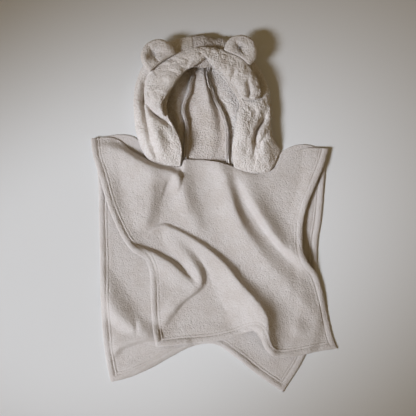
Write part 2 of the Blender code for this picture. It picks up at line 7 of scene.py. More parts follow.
import bpy
import numpy as np
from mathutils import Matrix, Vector


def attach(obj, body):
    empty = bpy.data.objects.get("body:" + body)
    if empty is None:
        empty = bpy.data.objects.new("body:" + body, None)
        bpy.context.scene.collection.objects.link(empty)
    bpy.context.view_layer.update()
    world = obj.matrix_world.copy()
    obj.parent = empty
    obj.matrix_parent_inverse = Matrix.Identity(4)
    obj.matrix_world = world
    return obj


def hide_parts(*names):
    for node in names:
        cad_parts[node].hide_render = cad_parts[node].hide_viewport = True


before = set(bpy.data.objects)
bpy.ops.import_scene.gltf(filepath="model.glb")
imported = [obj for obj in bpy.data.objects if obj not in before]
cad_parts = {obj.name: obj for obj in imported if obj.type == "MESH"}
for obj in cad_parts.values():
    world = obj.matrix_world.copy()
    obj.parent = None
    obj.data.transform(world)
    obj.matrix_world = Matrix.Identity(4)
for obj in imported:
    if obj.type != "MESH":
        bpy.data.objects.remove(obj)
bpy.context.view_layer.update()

# ---- Back panel ----
# Square of plush terry, the lowest layer, flat on the floor but for a few soft rolls.
# Its sides and its bottom are turned in once and held by two rows of needlework.

MM = 0.001
CENTRE = (-1.5, 0.7, 0.0)
CLOTH = 3.0
HALF = CLOTH / 2
RESTING = 0.05
PANEL = 590.0
COARSE_CELLS = (36, 38)
RELAX_ROUNDS = 1500
CREST_SAMPLES = 80
SETTLE = 1.5

Fold = namedtuple("Fold", "name power crest")

BACK_LEFT = [(-305, 182), (-297, 135), (-292, 85), (-290, -15), (-287, -115), (-285, -215),
             (-280, -302), (-272, -365), (-260, -420)]
BACK_RIGHT = [(277, 155), (275, 105), (271, 52), (265, -15), (257, -65), (255, -120), (257, -215),
              (245, -302), (222, -360), (170, -445)]
BACK_TOP = [(-305, 182), (-257, 197), (-202, 192), (-170, 160), (-132, 132), (-75, 115), (-20, 110),
            (37, 110), (100, 110), (137, 127), (165, 155), (197, 171), (237, 172), (277, 155)]
BACK_BOTTOM = [(-260, -420), (-210, -407), (-160, -385), (-107, -355), (-62, -332), (-32, -325),
               (-3, -325), (50, -357), (107, -402), (170, -445)]
BACK_HEMMED = (BACK_LEFT, BACK_RIGHT, BACK_BOTTOM)

# A fold's crest has rows of x, y, its height, and its reach to the left and the right as walked.
# A flank falls as exp(-(distance / reach)^power); the two powers are for the left and the right.
BACK_FOLDS = [
    Fold("left_strip", (2, 2),
         [(-281, -130, 2, 20, 16), (-273, -168, 9, 26, 18), (-265, -202, 16, 32, 22),
          (-252, -232, 19, 34, 24), (-232, -257, 18, 32, 22), (-205, -276, 13, 26, 18),
          (-172, -289, 7, 20, 16)]),
    Fold("strip_crease", (1.6, 1.6),
         [(-200, -262, -1, 5, 6), (-196, -280, -5, 6, 7), (-194, -298, -2, 6, 6)]),
    Fold("lower_left_roll", (1.8, 2.6),
         [(-258, -350, 6, 20, 12), (-237, -329, 14, 22, 10), (-209, -318, 16, 22, 9),
          (-180, -310, 16, 22, 9), (-154, -305, 11, 22, 11), (-130, -296, 3, 22, 14)]),
    Fold("roll_crease", (1.6, 1.6),
         [(-150, -319, -2, 5, 5), (-177, -327, -6, 5, 6), (-204, -341, -6, 5, 6),
          (-227, -354, -4, 5, 6), (-240, -369, -2, 5, 6)]),
    Fold("lower_left_hem", (2, 2),
         [(-257, -412, 3, 20, 12), (-212, -390, 9, 20, 12), (-162, -367, 10, 20, 12),
          (-112, -340, 10, 20, 12), (-72, -325, 6, 20, 12)]),
    Fold("lower_right", (2, 2),
         [(37, -327, 2, 22, 22), (57, -354, 5, 22, 22), (87, -389, 3, 22, 22)]),
]

# Distance from a hemmed edge, and how far the cloth's face stands up there. The two dips are
# the two rows of needlework.
HEM = [(0.0, 0.0), (1.5, 1.3), (4.0, 2.3), (7.5, 2.6), (11.0, 2.1), (13.5, 0.9), (15.5, -0.4),
       (17.2, 0.5), (18.8, 0.8), (20.2, 0.4), (21.7, -0.6), (23.5, 0.3), (28.0, 0.2), (36.0, 0.0)]
NEEDLE_ROWS = (15.5, 21.7)
HEM_LINES = [0, 0.5, 1.3, 2.6, 4.2, 6.2, 8.4, 10.6, 12.5, 14, 15, 16, 17, 18, 19.2, 20.4, 21.3,
             22.2, 23.4, 25.2, 28, 32, 37]
PLAIN_LINES = [0, 0.5, 1.3, 2.6, 4.5, 7.5, 11]
ROUNDING = 1.5          # width of a cut edge's rounding
ROUND_EDGE = 0.35       # share of the thickness left on a cut edge
BLUNT_EDGE = 0.85       # the same on the hood's panels, which are sewn edge to edge
PANEL_PILE = 0.25       # roughness of a body panel's pile
REVERSE_PILE = 0.5      # roughness of the reverse, as a share of the face's


def smooth(share):
    """Ease from 0 to 1."""
    share = np.clip(share, 0.0, 1.0)
    return share * share * (3.0 - 2.0 * share)


def through(points, knots, places):
    """Smooth curve through points at their knots, read at the given places."""
    points = np.asarray(points, float)
    rows = points.reshape(len(points), -1)
    span = np.diff(knots)
    chord = np.diff(rows, axis=0) / span[:, None]
    slope = np.empty_like(rows)
    slope[0], slope[-1] = chord[0], chord[-1]
    before, after = span[:-1, None], span[1:, None]
    slope[1:-1] = (chord[:-1] * after + chord[1:] * before) / (before + after)
    i = np.clip(np.searchsorted(knots, places, side="right") - 1, 0, len(span) - 1)
    w = ((places - knots[i]) / span[i])[:, None]
    h = span[i][:, None]
    start = (2 * w**3 - 3 * w**2 + 1) * rows[i] + (w**3 - 2 * w**2 + w) * h * slope[i]
    end = (3 * w**2 - 2 * w**3) * rows[i + 1] + (w**3 - w**2) * h * slope[i + 1]
    return (start + end).reshape(len(places), *points.shape[1:])


def running(steps):
    """Running total of steps, from 0."""
    return np.concatenate([[0.0], np.cumsum(steps)])


def along(points):
    """Place of each point along its line, from 0 to 1."""
    reach = running(np.linalg.norm(np.diff(np.asarray(points, float)[:, :2], axis=0), axis=1))
    return reach / reach[-1]


def edge_curve(points, places):
    """Smooth curve through an edge's points, read at places from 0 to 1."""
    return through(points, along(points), places)


def between_edges(left, right, top, bottom, across, down):
    """Plan of a panel between its four edges, a row for each place down it."""
    side_l, side_r = edge_curve(left, down), edge_curve(right, down)
    side_t, side_b = edge_curve(top, across), edge_curve(bottom, across)
    u, v = across[None, :, None], down[:, None, None]
    plan = (1 - u) * side_l[:, None] + u * side_r[:, None]
    plan = plan + (1 - v) * side_t[None] + v * side_b[None]
    plan = plan - (1 - v) * ((1 - u) * side_t[0] + u * side_t[-1])
    return plan - v * ((1 - u) * side_b[0] + u * side_b[-1])


def both_ways(grid, knots_down, knots_across, down, across):
    """A grid of values read smoothly at finer places."""
    rows = through(grid, knots_down, down)
    return np.swapaxes(through(np.swapaxes(rows, 0, 1), knots_across, across), 0, 1)


def panel_plan(edges, across, down):
    """Plan of a panel with its inner points spread evenly, as a smooth cloth lies."""
    u = np.linspace(0, 1, COARSE_CELLS[0] + 1)
    v = np.linspace(0, 1, COARSE_CELLS[1] + 1)
    start = between_edges(*edges, u, v)
    plan = start.copy()
    wide, long = 1 / (u[1] - u[0]) ** 2, 1 / (v[1] - v[0]) ** 2
    for _ in range(RELAX_ROUNDS):
        sideways = wide * (plan[1:-1, :-2] + plan[1:-1, 2:])
        lengthwise = long * (plan[:-2, 1:-1] + plan[2:, 1:-1])
        plan[1:-1, 1:-1] = (sideways + lengthwise) / (2 * wide + 2 * long)
    return between_edges(*edges, across, down) + both_ways(plan - start, v, u, down, across)


def from_segment(flat, a, b):
    """Share of the way along a segment that is nearest each point, and the gap from there."""
    step = b - a
    w = np.clip(((flat - a) @ step) / (step @ step), 0, 1)
    return w, flat - a - w[:, None] * step


def beside(plan, crest):
    """Each plan point's distance from a crest, how squarely it is to the left of it (1) or the
    right (-1), and its place along the crest."""
    walk = edge_curve(crest, np.linspace(0, 1, CREST_SAMPLES))
    heading = np.gradient(walk, axis=0)
    heading /= np.linalg.norm(heading, axis=1)[:, None]
    flat = plan.reshape(-1, 2)
    nearest = np.full(len(flat), np.inf)
    lefthand = np.zeros(len(flat))
    place = np.zeros(len(flat))
    for i in range(len(walk) - 1):
        w, gap = from_segment(flat, walk[i], walk[i + 1])
        distance = np.hypot(gap[:, 0], gap[:, 1])
        tangent = heading[i] * (1 - w[:, None]) + heading[i + 1] * w[:, None]
        turn = tangent[:, 0] * gap[:, 1] - tangent[:, 1] * gap[:, 0]
        closer = distance < nearest
        nearest[closer] = distance[closer]
        lefthand[closer] = (turn / np.maximum(distance, 1e-6))[closer]
        place[closer] = ((i + w) / (len(walk) - 1))[closer]
    return [value.reshape(plan.shape[:-1]) for value in (nearest, lefthand, place)]


def folded(plan, folds):
    """Height that the folds give each plan point."""
    height = np.zeros(plan.shape[:-1])
    for fold in folds:
        rows = np.asarray(fold.crest, float)
        distance, lefthand, place = beside(plan, rows[:, :2])
        values = through(rows[:, 2:], along(rows), place.reshape(-1)).reshape(*place.shape, 3)
        share_left = 0.5 + 0.5 * np.clip(lefthand, -1, 1)
        reach = values[..., 2] + (values[..., 1] - values[..., 2]) * share_left
        power = fold.power[1] + (fold.power[0] - fold.power[1]) * share_left
        height += values[..., 0] * np.exp(-(distance / np.maximum(reach, 1.0)) ** power)
    return height


def settled(height):
    """A fold's height, never below what the cloth lies on and eased into it."""
    eased = np.where(height < 2 * SETTLE, height**2 / (4 * SETTLE), height - SETTLE)
    return np.where(height <= 0, 0.0, eased)


def line_distance(flat, corners):
    """Distance of each point from the line through the corners."""
    nearest = np.full(len(flat), np.inf)
    for a, b in zip(corners[:-1], corners[1:]):
        _, gap = from_segment(flat, a, b)
        nearest = np.minimum(nearest, np.hypot(gap[:, 0], gap[:, 1]))
    return nearest


def edge_distance(plan, points):
    """Distance of each plan point from an edge."""
    corners = edge_curve(points, np.linspace(0, 1, 4 * len(points)))
    return line_distance(plan.reshape(-1, 2), corners).reshape(plan.shape[:-1])


def hem_distance(plan, hemmed):
    """Distance of each plan point from the nearest hemmed edge."""
    return np.min([edge_distance(plan, edge) for edge in hemmed], axis=0)


def hem_rise(plan, hemmed):
    """How far the face of the cloth stands up at its hems."""
    where, rise = np.transpose(HEM)
    return np.interp(hem_distance(plan, hemmed), where, rise)


def cloth_lines(start, cells, end, size):
    """Places of a panel's threads: close at its hems and even in between."""
    first = np.array(start) / size
    last = 1 - np.array(end)[::-1] / size
    return np.concatenate([first, np.linspace(first[-1], last[0], cells + 1)[1:-1], last])


def handled(shape, cells, seed):
    """Soft unevenness of cloth that was washed and handled, about 0 with a spread of 1."""
    coarse = np.random.default_rng(seed).normal(size=(cells[0] + 1, cells[1] + 1))
    knots = [np.linspace(0, 1, n + 1) for n in cells]
    places = [np.linspace(0, 1, n) for n in shape]
    return both_ways(coarse, knots[0], knots[1], places[0], places[1])


def lumpy(shape, layers):
    """Soft unevenness in layers, each with its height, its lumps down and across, and a seed."""
    return sum(height * handled(shape, cells, seed) for height, cells, seed in layers)


def facing(grid):
    """Normal at each grid point."""
    normal = np.cross(np.gradient(grid, axis=0), np.gradient(grid, axis=1))
    return normal / np.maximum(np.linalg.norm(normal, axis=-1), 1e-9)[..., None]


def edge_rounding(grid, edge):
    """Share of the cloth's half thickness near its cut edges, down to edge on the cut itself."""
    steps_down = np.linalg.norm(np.diff(grid, axis=0), axis=-1)
    steps_across = np.linalg.norm(np.diff(grid, axis=1), axis=-1)
    down = np.concatenate([np.zeros((1, grid.shape[1])), np.cumsum(steps_down, axis=0)])
    across = np.concatenate([np.zeros((grid.shape[0], 1)), np.cumsum(steps_across, axis=1)], axis=1)
    nearest = np.minimum(np.minimum(down, down[-1] - down),
                         np.minimum(across, across[:, -1:] - across))
    inward = np.clip(nearest / ROUNDING, 0, 1)
    return edge + (1 - edge) * np.sqrt(1 - (1 - inward) ** 2)


def make_mesh(name, points, faces, material):
    """Mesh of quads from points in millimetres; the piece rides on the garment's one body."""
    mesh = bpy.data.meshes.new(name)
    mesh.vertices.add(len(points))
    mesh.vertices.foreach_set("co", ((points - CENTRE) * MM).ravel())
    mesh.loops.add(faces.size)
    mesh.loops.foreach_set("vertex_index", faces.ravel().astype(np.int32))
    mesh.polygons.add(len(faces))
    mesh.polygons.foreach_set("loop_start", np.arange(0, faces.size, 4, dtype=np.int32))
    mesh.update(calc_edges=True)
    mesh.validate()
    mesh.shade_smooth()
    mesh.materials.append(material)
    piece = bpy.data.objects.new(name, mesh)
    bpy.context.scene.collection.objects.link(piece)
    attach(piece, "root")
    return piece


def grid_faces(rows, columns, closed=False):
    """Quads of a grid; a closed one joins its last column to its first."""
    index = np.arange(rows * columns).reshape(rows, columns)
    if closed:
        index = np.hstack([index, index[:, :1]])
    return np.stack([index[:-1, :-1], index[1:, :-1], index[1:, 1:], index[:-1, 1:]],
                    axis=-1).reshape(-1, 4)


def cloth_wall(name, middle, material, pile, seed, rise=0.0, edge=ROUND_EDGE):
    """Closed wall of cloth about a middle surface, its face raised by rise and roughened by pile.

    Returns the piece and the points of its face."""
    normal = facing(middle)
    thick = HALF * edge_rounding(middle, edge)
    rough = np.random.default_rng(seed).normal(size=(2, *middle.shape[:2])) * pile
    face = middle + normal * (thick + rise + rough[0])[..., None]
    reverse = middle - normal * (thick + rough[1] * REVERSE_PILE)[..., None]
    resting = middle[..., 2] < HALF + RESTING
    for side, below in ((face, normal[..., 2] < 0), (reverse, normal[..., 2] > 0)):
        side[..., 2] = np.where(resting & below, 0.0, np.maximum(side[..., 2], 0.0))
    rows, columns = middle.shape[:2]
    index = np.arange(rows * columns).reshape(rows, columns)
    front = grid_faces(rows, columns)
    back = front[:, ::-1] + rows * columns
    border = np.concatenate([index[:, 0], index[-1, 1:], index[-2::-1, -1], index[0, -2:0:-1]])
    after = np.roll(border, -1)
    rim = np.stack([after, border, border + rows * columns, after + rows * columns], axis=1)
    points = np.vstack([face.reshape(-1, 3), reverse.reshape(-1, 3)])
    piece = make_mesh(name, points, np.vstack([front, back, rim]), material)
    return piece, face


def add_node(nodes, kind, **values):
    """A shader node with its settings and input values."""
    node = nodes.new("ShaderNode" + kind)
    for key, value in values.items():
        if key in node.inputs:
            node.inputs[key].default_value = value
        else:
            setattr(node, key, value)
    return node


def feed(link, socket, term):
    """Give a socket another socket's output, or a plain value."""
    if isinstance(term, bpy.types.NodeSocket):
        link(term, socket)
    else:
        socket.default_value = term


def worked(nodes, link, kind, *terms, **settings):
    """First output of a new node whose inputs are fed in turn."""
    node = add_node(nodes, kind, **settings)
    for socket, term in zip(node.inputs, terms):
        feed(link, socket, term)
    return node.outputs[0]


def colour_mix(nodes, link, share, first, second):
    """Colour between two colours, by a share from 0 to 1."""
    mix = add_node(nodes, "Mix", data_type="RGBA")
    for place, term in ((0, share), (6, first), (7, second)):
        feed(link, mix.inputs[place], term)
    return mix.outputs[2]


def relief(nodes, link, height, depth):
    """Normal of a surface whose height stands out by depth, in metres."""
    bump = add_node(nodes, "Bump", Strength=1.0, Distance=depth)
    link(height, bump.inputs["Height"])
    return bump.outputs["Normal"]


def start_material(name, look):
    """New material, its nodes, the way to link them, and its shader's inputs set to a look."""
    material = bpy.data.materials.new(name)
    material.use_nodes = True
    nodes, link = material.node_tree.nodes, material.node_tree.links.new
    shader = nodes["Principled BSDF"].inputs
    for key, value in look.items():
        shader[key].default_value = value
    return material, nodes, link, shader


# Pile of the terry. A scale counts the cells in a metre; a weight is a share in the pile's height.
SWAY_SCALE, SWAY = 90.0, 0.006
TUFT_SCALE, TUFT_WEIGHT = 230.0, 1.5
FIBRE_SCALE, FIBRE_WEIGHT = 1500.0, 0.45
LOOP_FALL, LOOP_TOP = -0.9, 0.62
ROOT_HEIGHTS = (0.75, 1.65)     # heights where the root's shade is whole, and gone
PATCH_SCALE, PATCH_SHARE = 28.0, 0.3
PATCH_RANGE = (0.35, 0.7)
TERRY_LOOK = {"Roughness": 0.95, "Specular IOR Level": 0.15, "Sheen Weight": 0.25,
              "Sheen Roughness": 0.6, "Sheen Tint": (1.0, 0.96, 0.92, 1)}


def terry_group():
    """Looped pile: its colour in soft patches of random tone and with painted shade at the roots
    between its loops, and the height of its loops.
    """
    group = bpy.data.node_groups.new("terry_pile", "ShaderNodeTree")
    interface = group.interface
    for name, kind, value in (("Tips", "NodeSocketColor", (0.6, 0.55, 0.5, 1)),
                              ("Shade and patches", "NodeSocketColor", (0.4, 0.33, 0.27, 1)),
                              ("Loops per metre", "NodeSocketFloat", 380.0),
                              ("Depth", "NodeSocketFloat", 0.5),
                              ("Patches", "NodeSocketFloat", 0.35)):
        interface.new_socket(name, in_out="INPUT", socket_type=kind).default_value = value
    interface.new_socket("Colour", in_out="OUTPUT", socket_type="NodeSocketColor")
    interface.new_socket("Height", in_out="OUTPUT", socket_type="NodeSocketFloat")
    nodes, link = group.nodes, group.links.new
    given = nodes.new("NodeGroupInput").outputs
    result = nodes.new("NodeGroupOutput").inputs
    place = nodes.new("ShaderNodeTexCoord").outputs["Object"]
    sway = add_node(nodes, "TexNoise", Scale=SWAY_SCALE, Detail=2.0)
    link(place, sway.inputs["Vector"])
    swayed = worked(nodes, link, "VectorMath", sway.outputs["Color"], (SWAY, SWAY, SWAY), place,
                    operation="MULTIPLY_ADD")
    loops = add_node(nodes, "TexVoronoi", feature="SMOOTH_F1", Smoothness=0.6, Randomness=1.0)
    link(swayed, loops.inputs["Vector"])
    link(given["Loops per metre"], loops.inputs["Scale"])
    tuft = worked(nodes, link, "TexNoise", place, Scale=TUFT_SCALE, Detail=3.0, Roughness=0.65)
    fibre = worked(nodes, link, "TexNoise", place, Scale=FIBRE_SCALE, Detail=2.0, Roughness=0.6)
    brushed = worked(nodes, link, "TexNoise", place, Scale=PATCH_SCALE, Detail=3.0, Roughness=0.55)
    looped = worked(nodes, link, "Math", loops.outputs["Distance"], LOOP_FALL, LOOP_TOP,
                    operation="MULTIPLY_ADD")
    tufted = worked(nodes, link, "Math", tuft, TUFT_WEIGHT, looped, operation="MULTIPLY_ADD")
    height = worked(nodes, link, "Math", fibre, FIBRE_WEIGHT, tufted, operation="MULTIPLY_ADD")
    # Painted shade: where the pile is low, between its loops, the colour turns to the shade colour;
    # soft patches of random tone lean towards it too.
    deep = worked(nodes, link, "MapRange", height, *ROOT_HEIGHTS, 1.0, 0.0,
                  interpolation_type="SMOOTHSTEP")
    patch = worked(nodes, link, "MapRange", brushed, *PATCH_RANGE, 0.0, 1.0,
                   interpolation_type="SMOOTHSTEP")
    rooted = worked(nodes, link, "Math", deep, given["Depth"], operation="MULTIPLY")
    patched = worked(nodes, link, "Math", patch, given["Patches"], operation="MULTIPLY")
    share = worked(nodes, link, "Math", rooted, patched, operation="ADD", use_clamp=True)
    link(colour_mix(nodes, link, share, given["Tips"], given["Shade and patches"]), result["Colour"])
    link(height, result["Height"])
    return group


TERRY = terry_group()


def terry(name, tips, shade_and_patches, loops, depth, bump):
    """Plush terry of one piece: loops for each metre, depth of the painted shade at their roots,
    relief in metres.
    """
    material, nodes, link, shader = start_material(name, TERRY_LOOK)
    pile = nodes.new("ShaderNodeGroup")
    pile.node_tree = TERRY
    for key, value in (("Tips", tips), ("Shade and patches", shade_and_patches), ("Loops per metre", loops),
                       ("Depth", depth), ("Patches", PATCH_SHARE)):
        pile.inputs[key].default_value = value
    link(pile.outputs["Colour"], shader["Base Color"])
    link(relief(nodes, link, pile.outputs["Height"], bump), shader["Normal"])
    return material


# The body's terry: the colour of its loops, and the painted shade between them, also used for its
# patches of random tone.
OATMEAL = (0.665, 0.62, 0.587, 1)
OATMEAL_SHADE_AND_PATCHES = (0.51, 0.44, 0.385, 1)
BODY_LOOPS = 420.0
BACK_CELLS = (120, 130)
back_terry = terry("back_terry", OATMEAL, OATMEAL_SHADE_AND_PATCHES, BODY_LOOPS, depth=0.22, bump=0.0010)
back_edges = (BACK_LEFT, BACK_RIGHT, BACK_TOP, BACK_BOTTOM)
back_across = cloth_lines(HEM_LINES, BACK_CELLS[0], HEM_LINES, PANEL)
back_down = cloth_lines(PLAIN_LINES, BACK_CELLS[1], HEM_LINES, PANEL)
back_plan = panel_plan(back_edges, back_across, back_down)
back_height = HALF + settled(folded(back_plan, BACK_FOLDS))
back_middle = np.dstack([back_plan, back_height])
back_panel, back_face = cloth_wall("back_panel_cloth", back_middle, back_terry, PANEL_PILE, 11,
                                   rise=hem_rise(back_plan, BACK_HEMMED))
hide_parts("back_panel")

# Needlework: lockstitches of oatmeal thread, sunk in the pile.
THREAD = (0.76, 0.67, 0.58, 1)
# Painted shade: the thread darkens to this colour in the grooves of its twist, and is lightest on
# their ridges.
THREAD_TWIST_SHADE = (0.57, 0.47, 0.38, 1)
THREAD_RELIEF = 0.0002
TWIST_SCALE = 900.0
HEM_CELLS = 40          # points from a hem's edge that its needlework is looked for in
STITCH_PITCH = 3.8
STITCH_LENGTH = 2.9
STITCH_WIDTH = 0.8
STITCH_RISE = 0.15
# A stitch's points as shares of its length, and of its width across and upwards; then its faces.
STITCH_POINTS = [(-0.5, 0, 0), (-0.25, -0.5, 0), (-0.25, 0, 0.4), (-0.25, 0.5, 0),
                 (0.25, -0.5, 0), (0.25, 0, 0.4), (0.25, 0.5, 0), (0.5, 0, 0)]
STITCH_FACES = [(0, 1, 2, 3), (1, 4, 5, 2), (2, 5, 6, 3), (4, 7, 6, 5), (0, 3, 6, 7), (0, 7, 4, 1)]


def thread_material():
    """Thread with painted highlight on the ridges and painted shade in the grooves of its twist, which
    also bumps it.
    """
    look = {"Roughness": 0.55, "Sheen Weight": 0.15}
    material, nodes, link, shader = start_material("needle_thread", look)
    place = nodes.new("ShaderNodeTexCoord").outputs["Object"]
    wave = add_node(nodes, "TexWave", Scale=TWIST_SCALE, Distortion=1.5)
    link(place, wave.inputs["Vector"])
    twist = wave.outputs["Fac"]
    link(colour_mix(nodes, link, twist, THREAD, THREAD_TWIST_SHADE), shader["Base Color"])
    link(relief(nodes, link, twist, THREAD_RELIEF), shader["Normal"])
    return material


NEEDLE_THREAD = thread_material()


def needle_row(face, plan, edge, away, along_rows):
    """Line on a panel's face at one distance from a hemmed edge."""
    distance = edge_distance(plan, edge)
    if not along_rows:
        face, distance = np.swapaxes(face, 0, 1), distance.T
    line = []
    for points, apart in zip(face, distance):
        near = np.argmin(apart)
        inward = 1 if near < len(apart) / 2 else -1
        order = slice(near, near + inward * HEM_CELLS, inward)
        line.append([np.interp(away, apart[order], points[order, k]) for k in range(3)])
    return np.array(line)


def needlework(name, lines, pitch=STITCH_PITCH, length=STITCH_LENGTH, width=STITCH_WIDTH,
               crosswise=False):
    """Stitches along lines on the cloth, or across them, as one piece of thread."""
    points, faces = [], []
    for line in lines:
        reach = running(np.linalg.norm(np.diff(line, axis=0), axis=1))
        centres = np.arange(pitch, reach[-1] - pitch, pitch)
        at = np.stack([np.interp(centres, reach, line[:, k]) for k in range(3)], axis=1)
        heading = np.gradient(at, axis=0)
        heading /= np.linalg.norm(heading, axis=1)[:, None]
        aside = np.cross((0, 0, 1), heading)
        aside /= np.linalg.norm(aside, axis=1)[:, None]
        up = np.cross(heading, aside)
        if crosswise:
            heading, aside = aside, -heading
        for centre, ahead, across, above in zip(at, heading, aside, up):
            base = len(points)
            for a, b, c in STITCH_POINTS:
                points.append(centre + ahead * a * length + across * b * width
                              + above * (c * width + STITCH_RISE))
            faces.extend([[base + k for k in quad] for quad in STITCH_FACES])
    return make_mesh(name, np.array(points), np.array(faces), NEEDLE_THREAD)


def hem_lines(face, plan, hemmed):
    """Lines of the needlework along a panel's two sides and its bottom."""
    return [needle_row(face, plan, edge, away, along_rows)
            for edge, along_rows in zip(hemmed, (True, True, False)) for away in NEEDLE_ROWS]


back_needlework = needlework("back_needlework", hem_lines(back_face, back_plan, BACK_HEMMED))

# ---- Front panel ----
# The same square of terry, lying on the back panel in thrown folds. Its neckline is sewn to the
# hood, and its sides and bottom have the same turned hem.

FRONT_GAP = 0.6
SLOPE_LIFT = 0.5
HEM_ROOM = 2.6
HEM_ROOM_SOFT = 24.0
DROP_START = 1.0
DROP_END = 28.0
HEM_REACH = 38.0        # how far in from the back panel's edge its hem needs room
NECK_HALF = 190.0       # the back panel's neck edge lies within this, on either side
UNEVEN, UNEVEN_CELLS = 0.5, (22, 24)
DEEPEST_DENT = -0.3
UNEVEN_FROM = 6.0       # height of a fold where its unevenness is whole
FRONT_CELLS = (170, 170)

FRONT_LEFT = [(-309, 187), (-303, 145), (-287, 92), (-272, 37), (-247, -27), (-219, -77),
              (-202, -95), (-179, -107), (-166, -132), (-161, -172), (-160, -222), (-155, -282),
              (-147, -331)]
FRONT_RIGHT = [(283, 162), (270, 120), (250, 72), (229, 20), (219, -22), (217, -55), (220, -97),
               (232, -122), (250, -142), (264, -177), (274, -217), (284, -264), (296, -311),
               (306, -336)]
FRONT_TOP = [(-309, 187), (-278, 191), (-254, 190), (-234, 181), (-221, 167), (-196, 150),
             (-162, 132), (-134, 121), (-102, 118), (-85, 119), (-77, 134), (-55, 135), (-25, 134),
             (7, 129), (37, 121), (67, 107), (102, 100), (134, 105), (161, 126), (181, 144),
             (204, 158), (236, 165), (283, 162)]
FRONT_BOTTOM = [(-147, -331), (-75, -324), (-5, -318), (60, -303), (86, -292), (104, -288),
                (111, -300), (117, -318), (126, -337), (140, -351), (160, -357), (190, -356),
                (244, -346), (306, -336)]
FRONT_HEMMED = (FRONT_LEFT, FRONT_RIGHT, FRONT_BOTTOM)

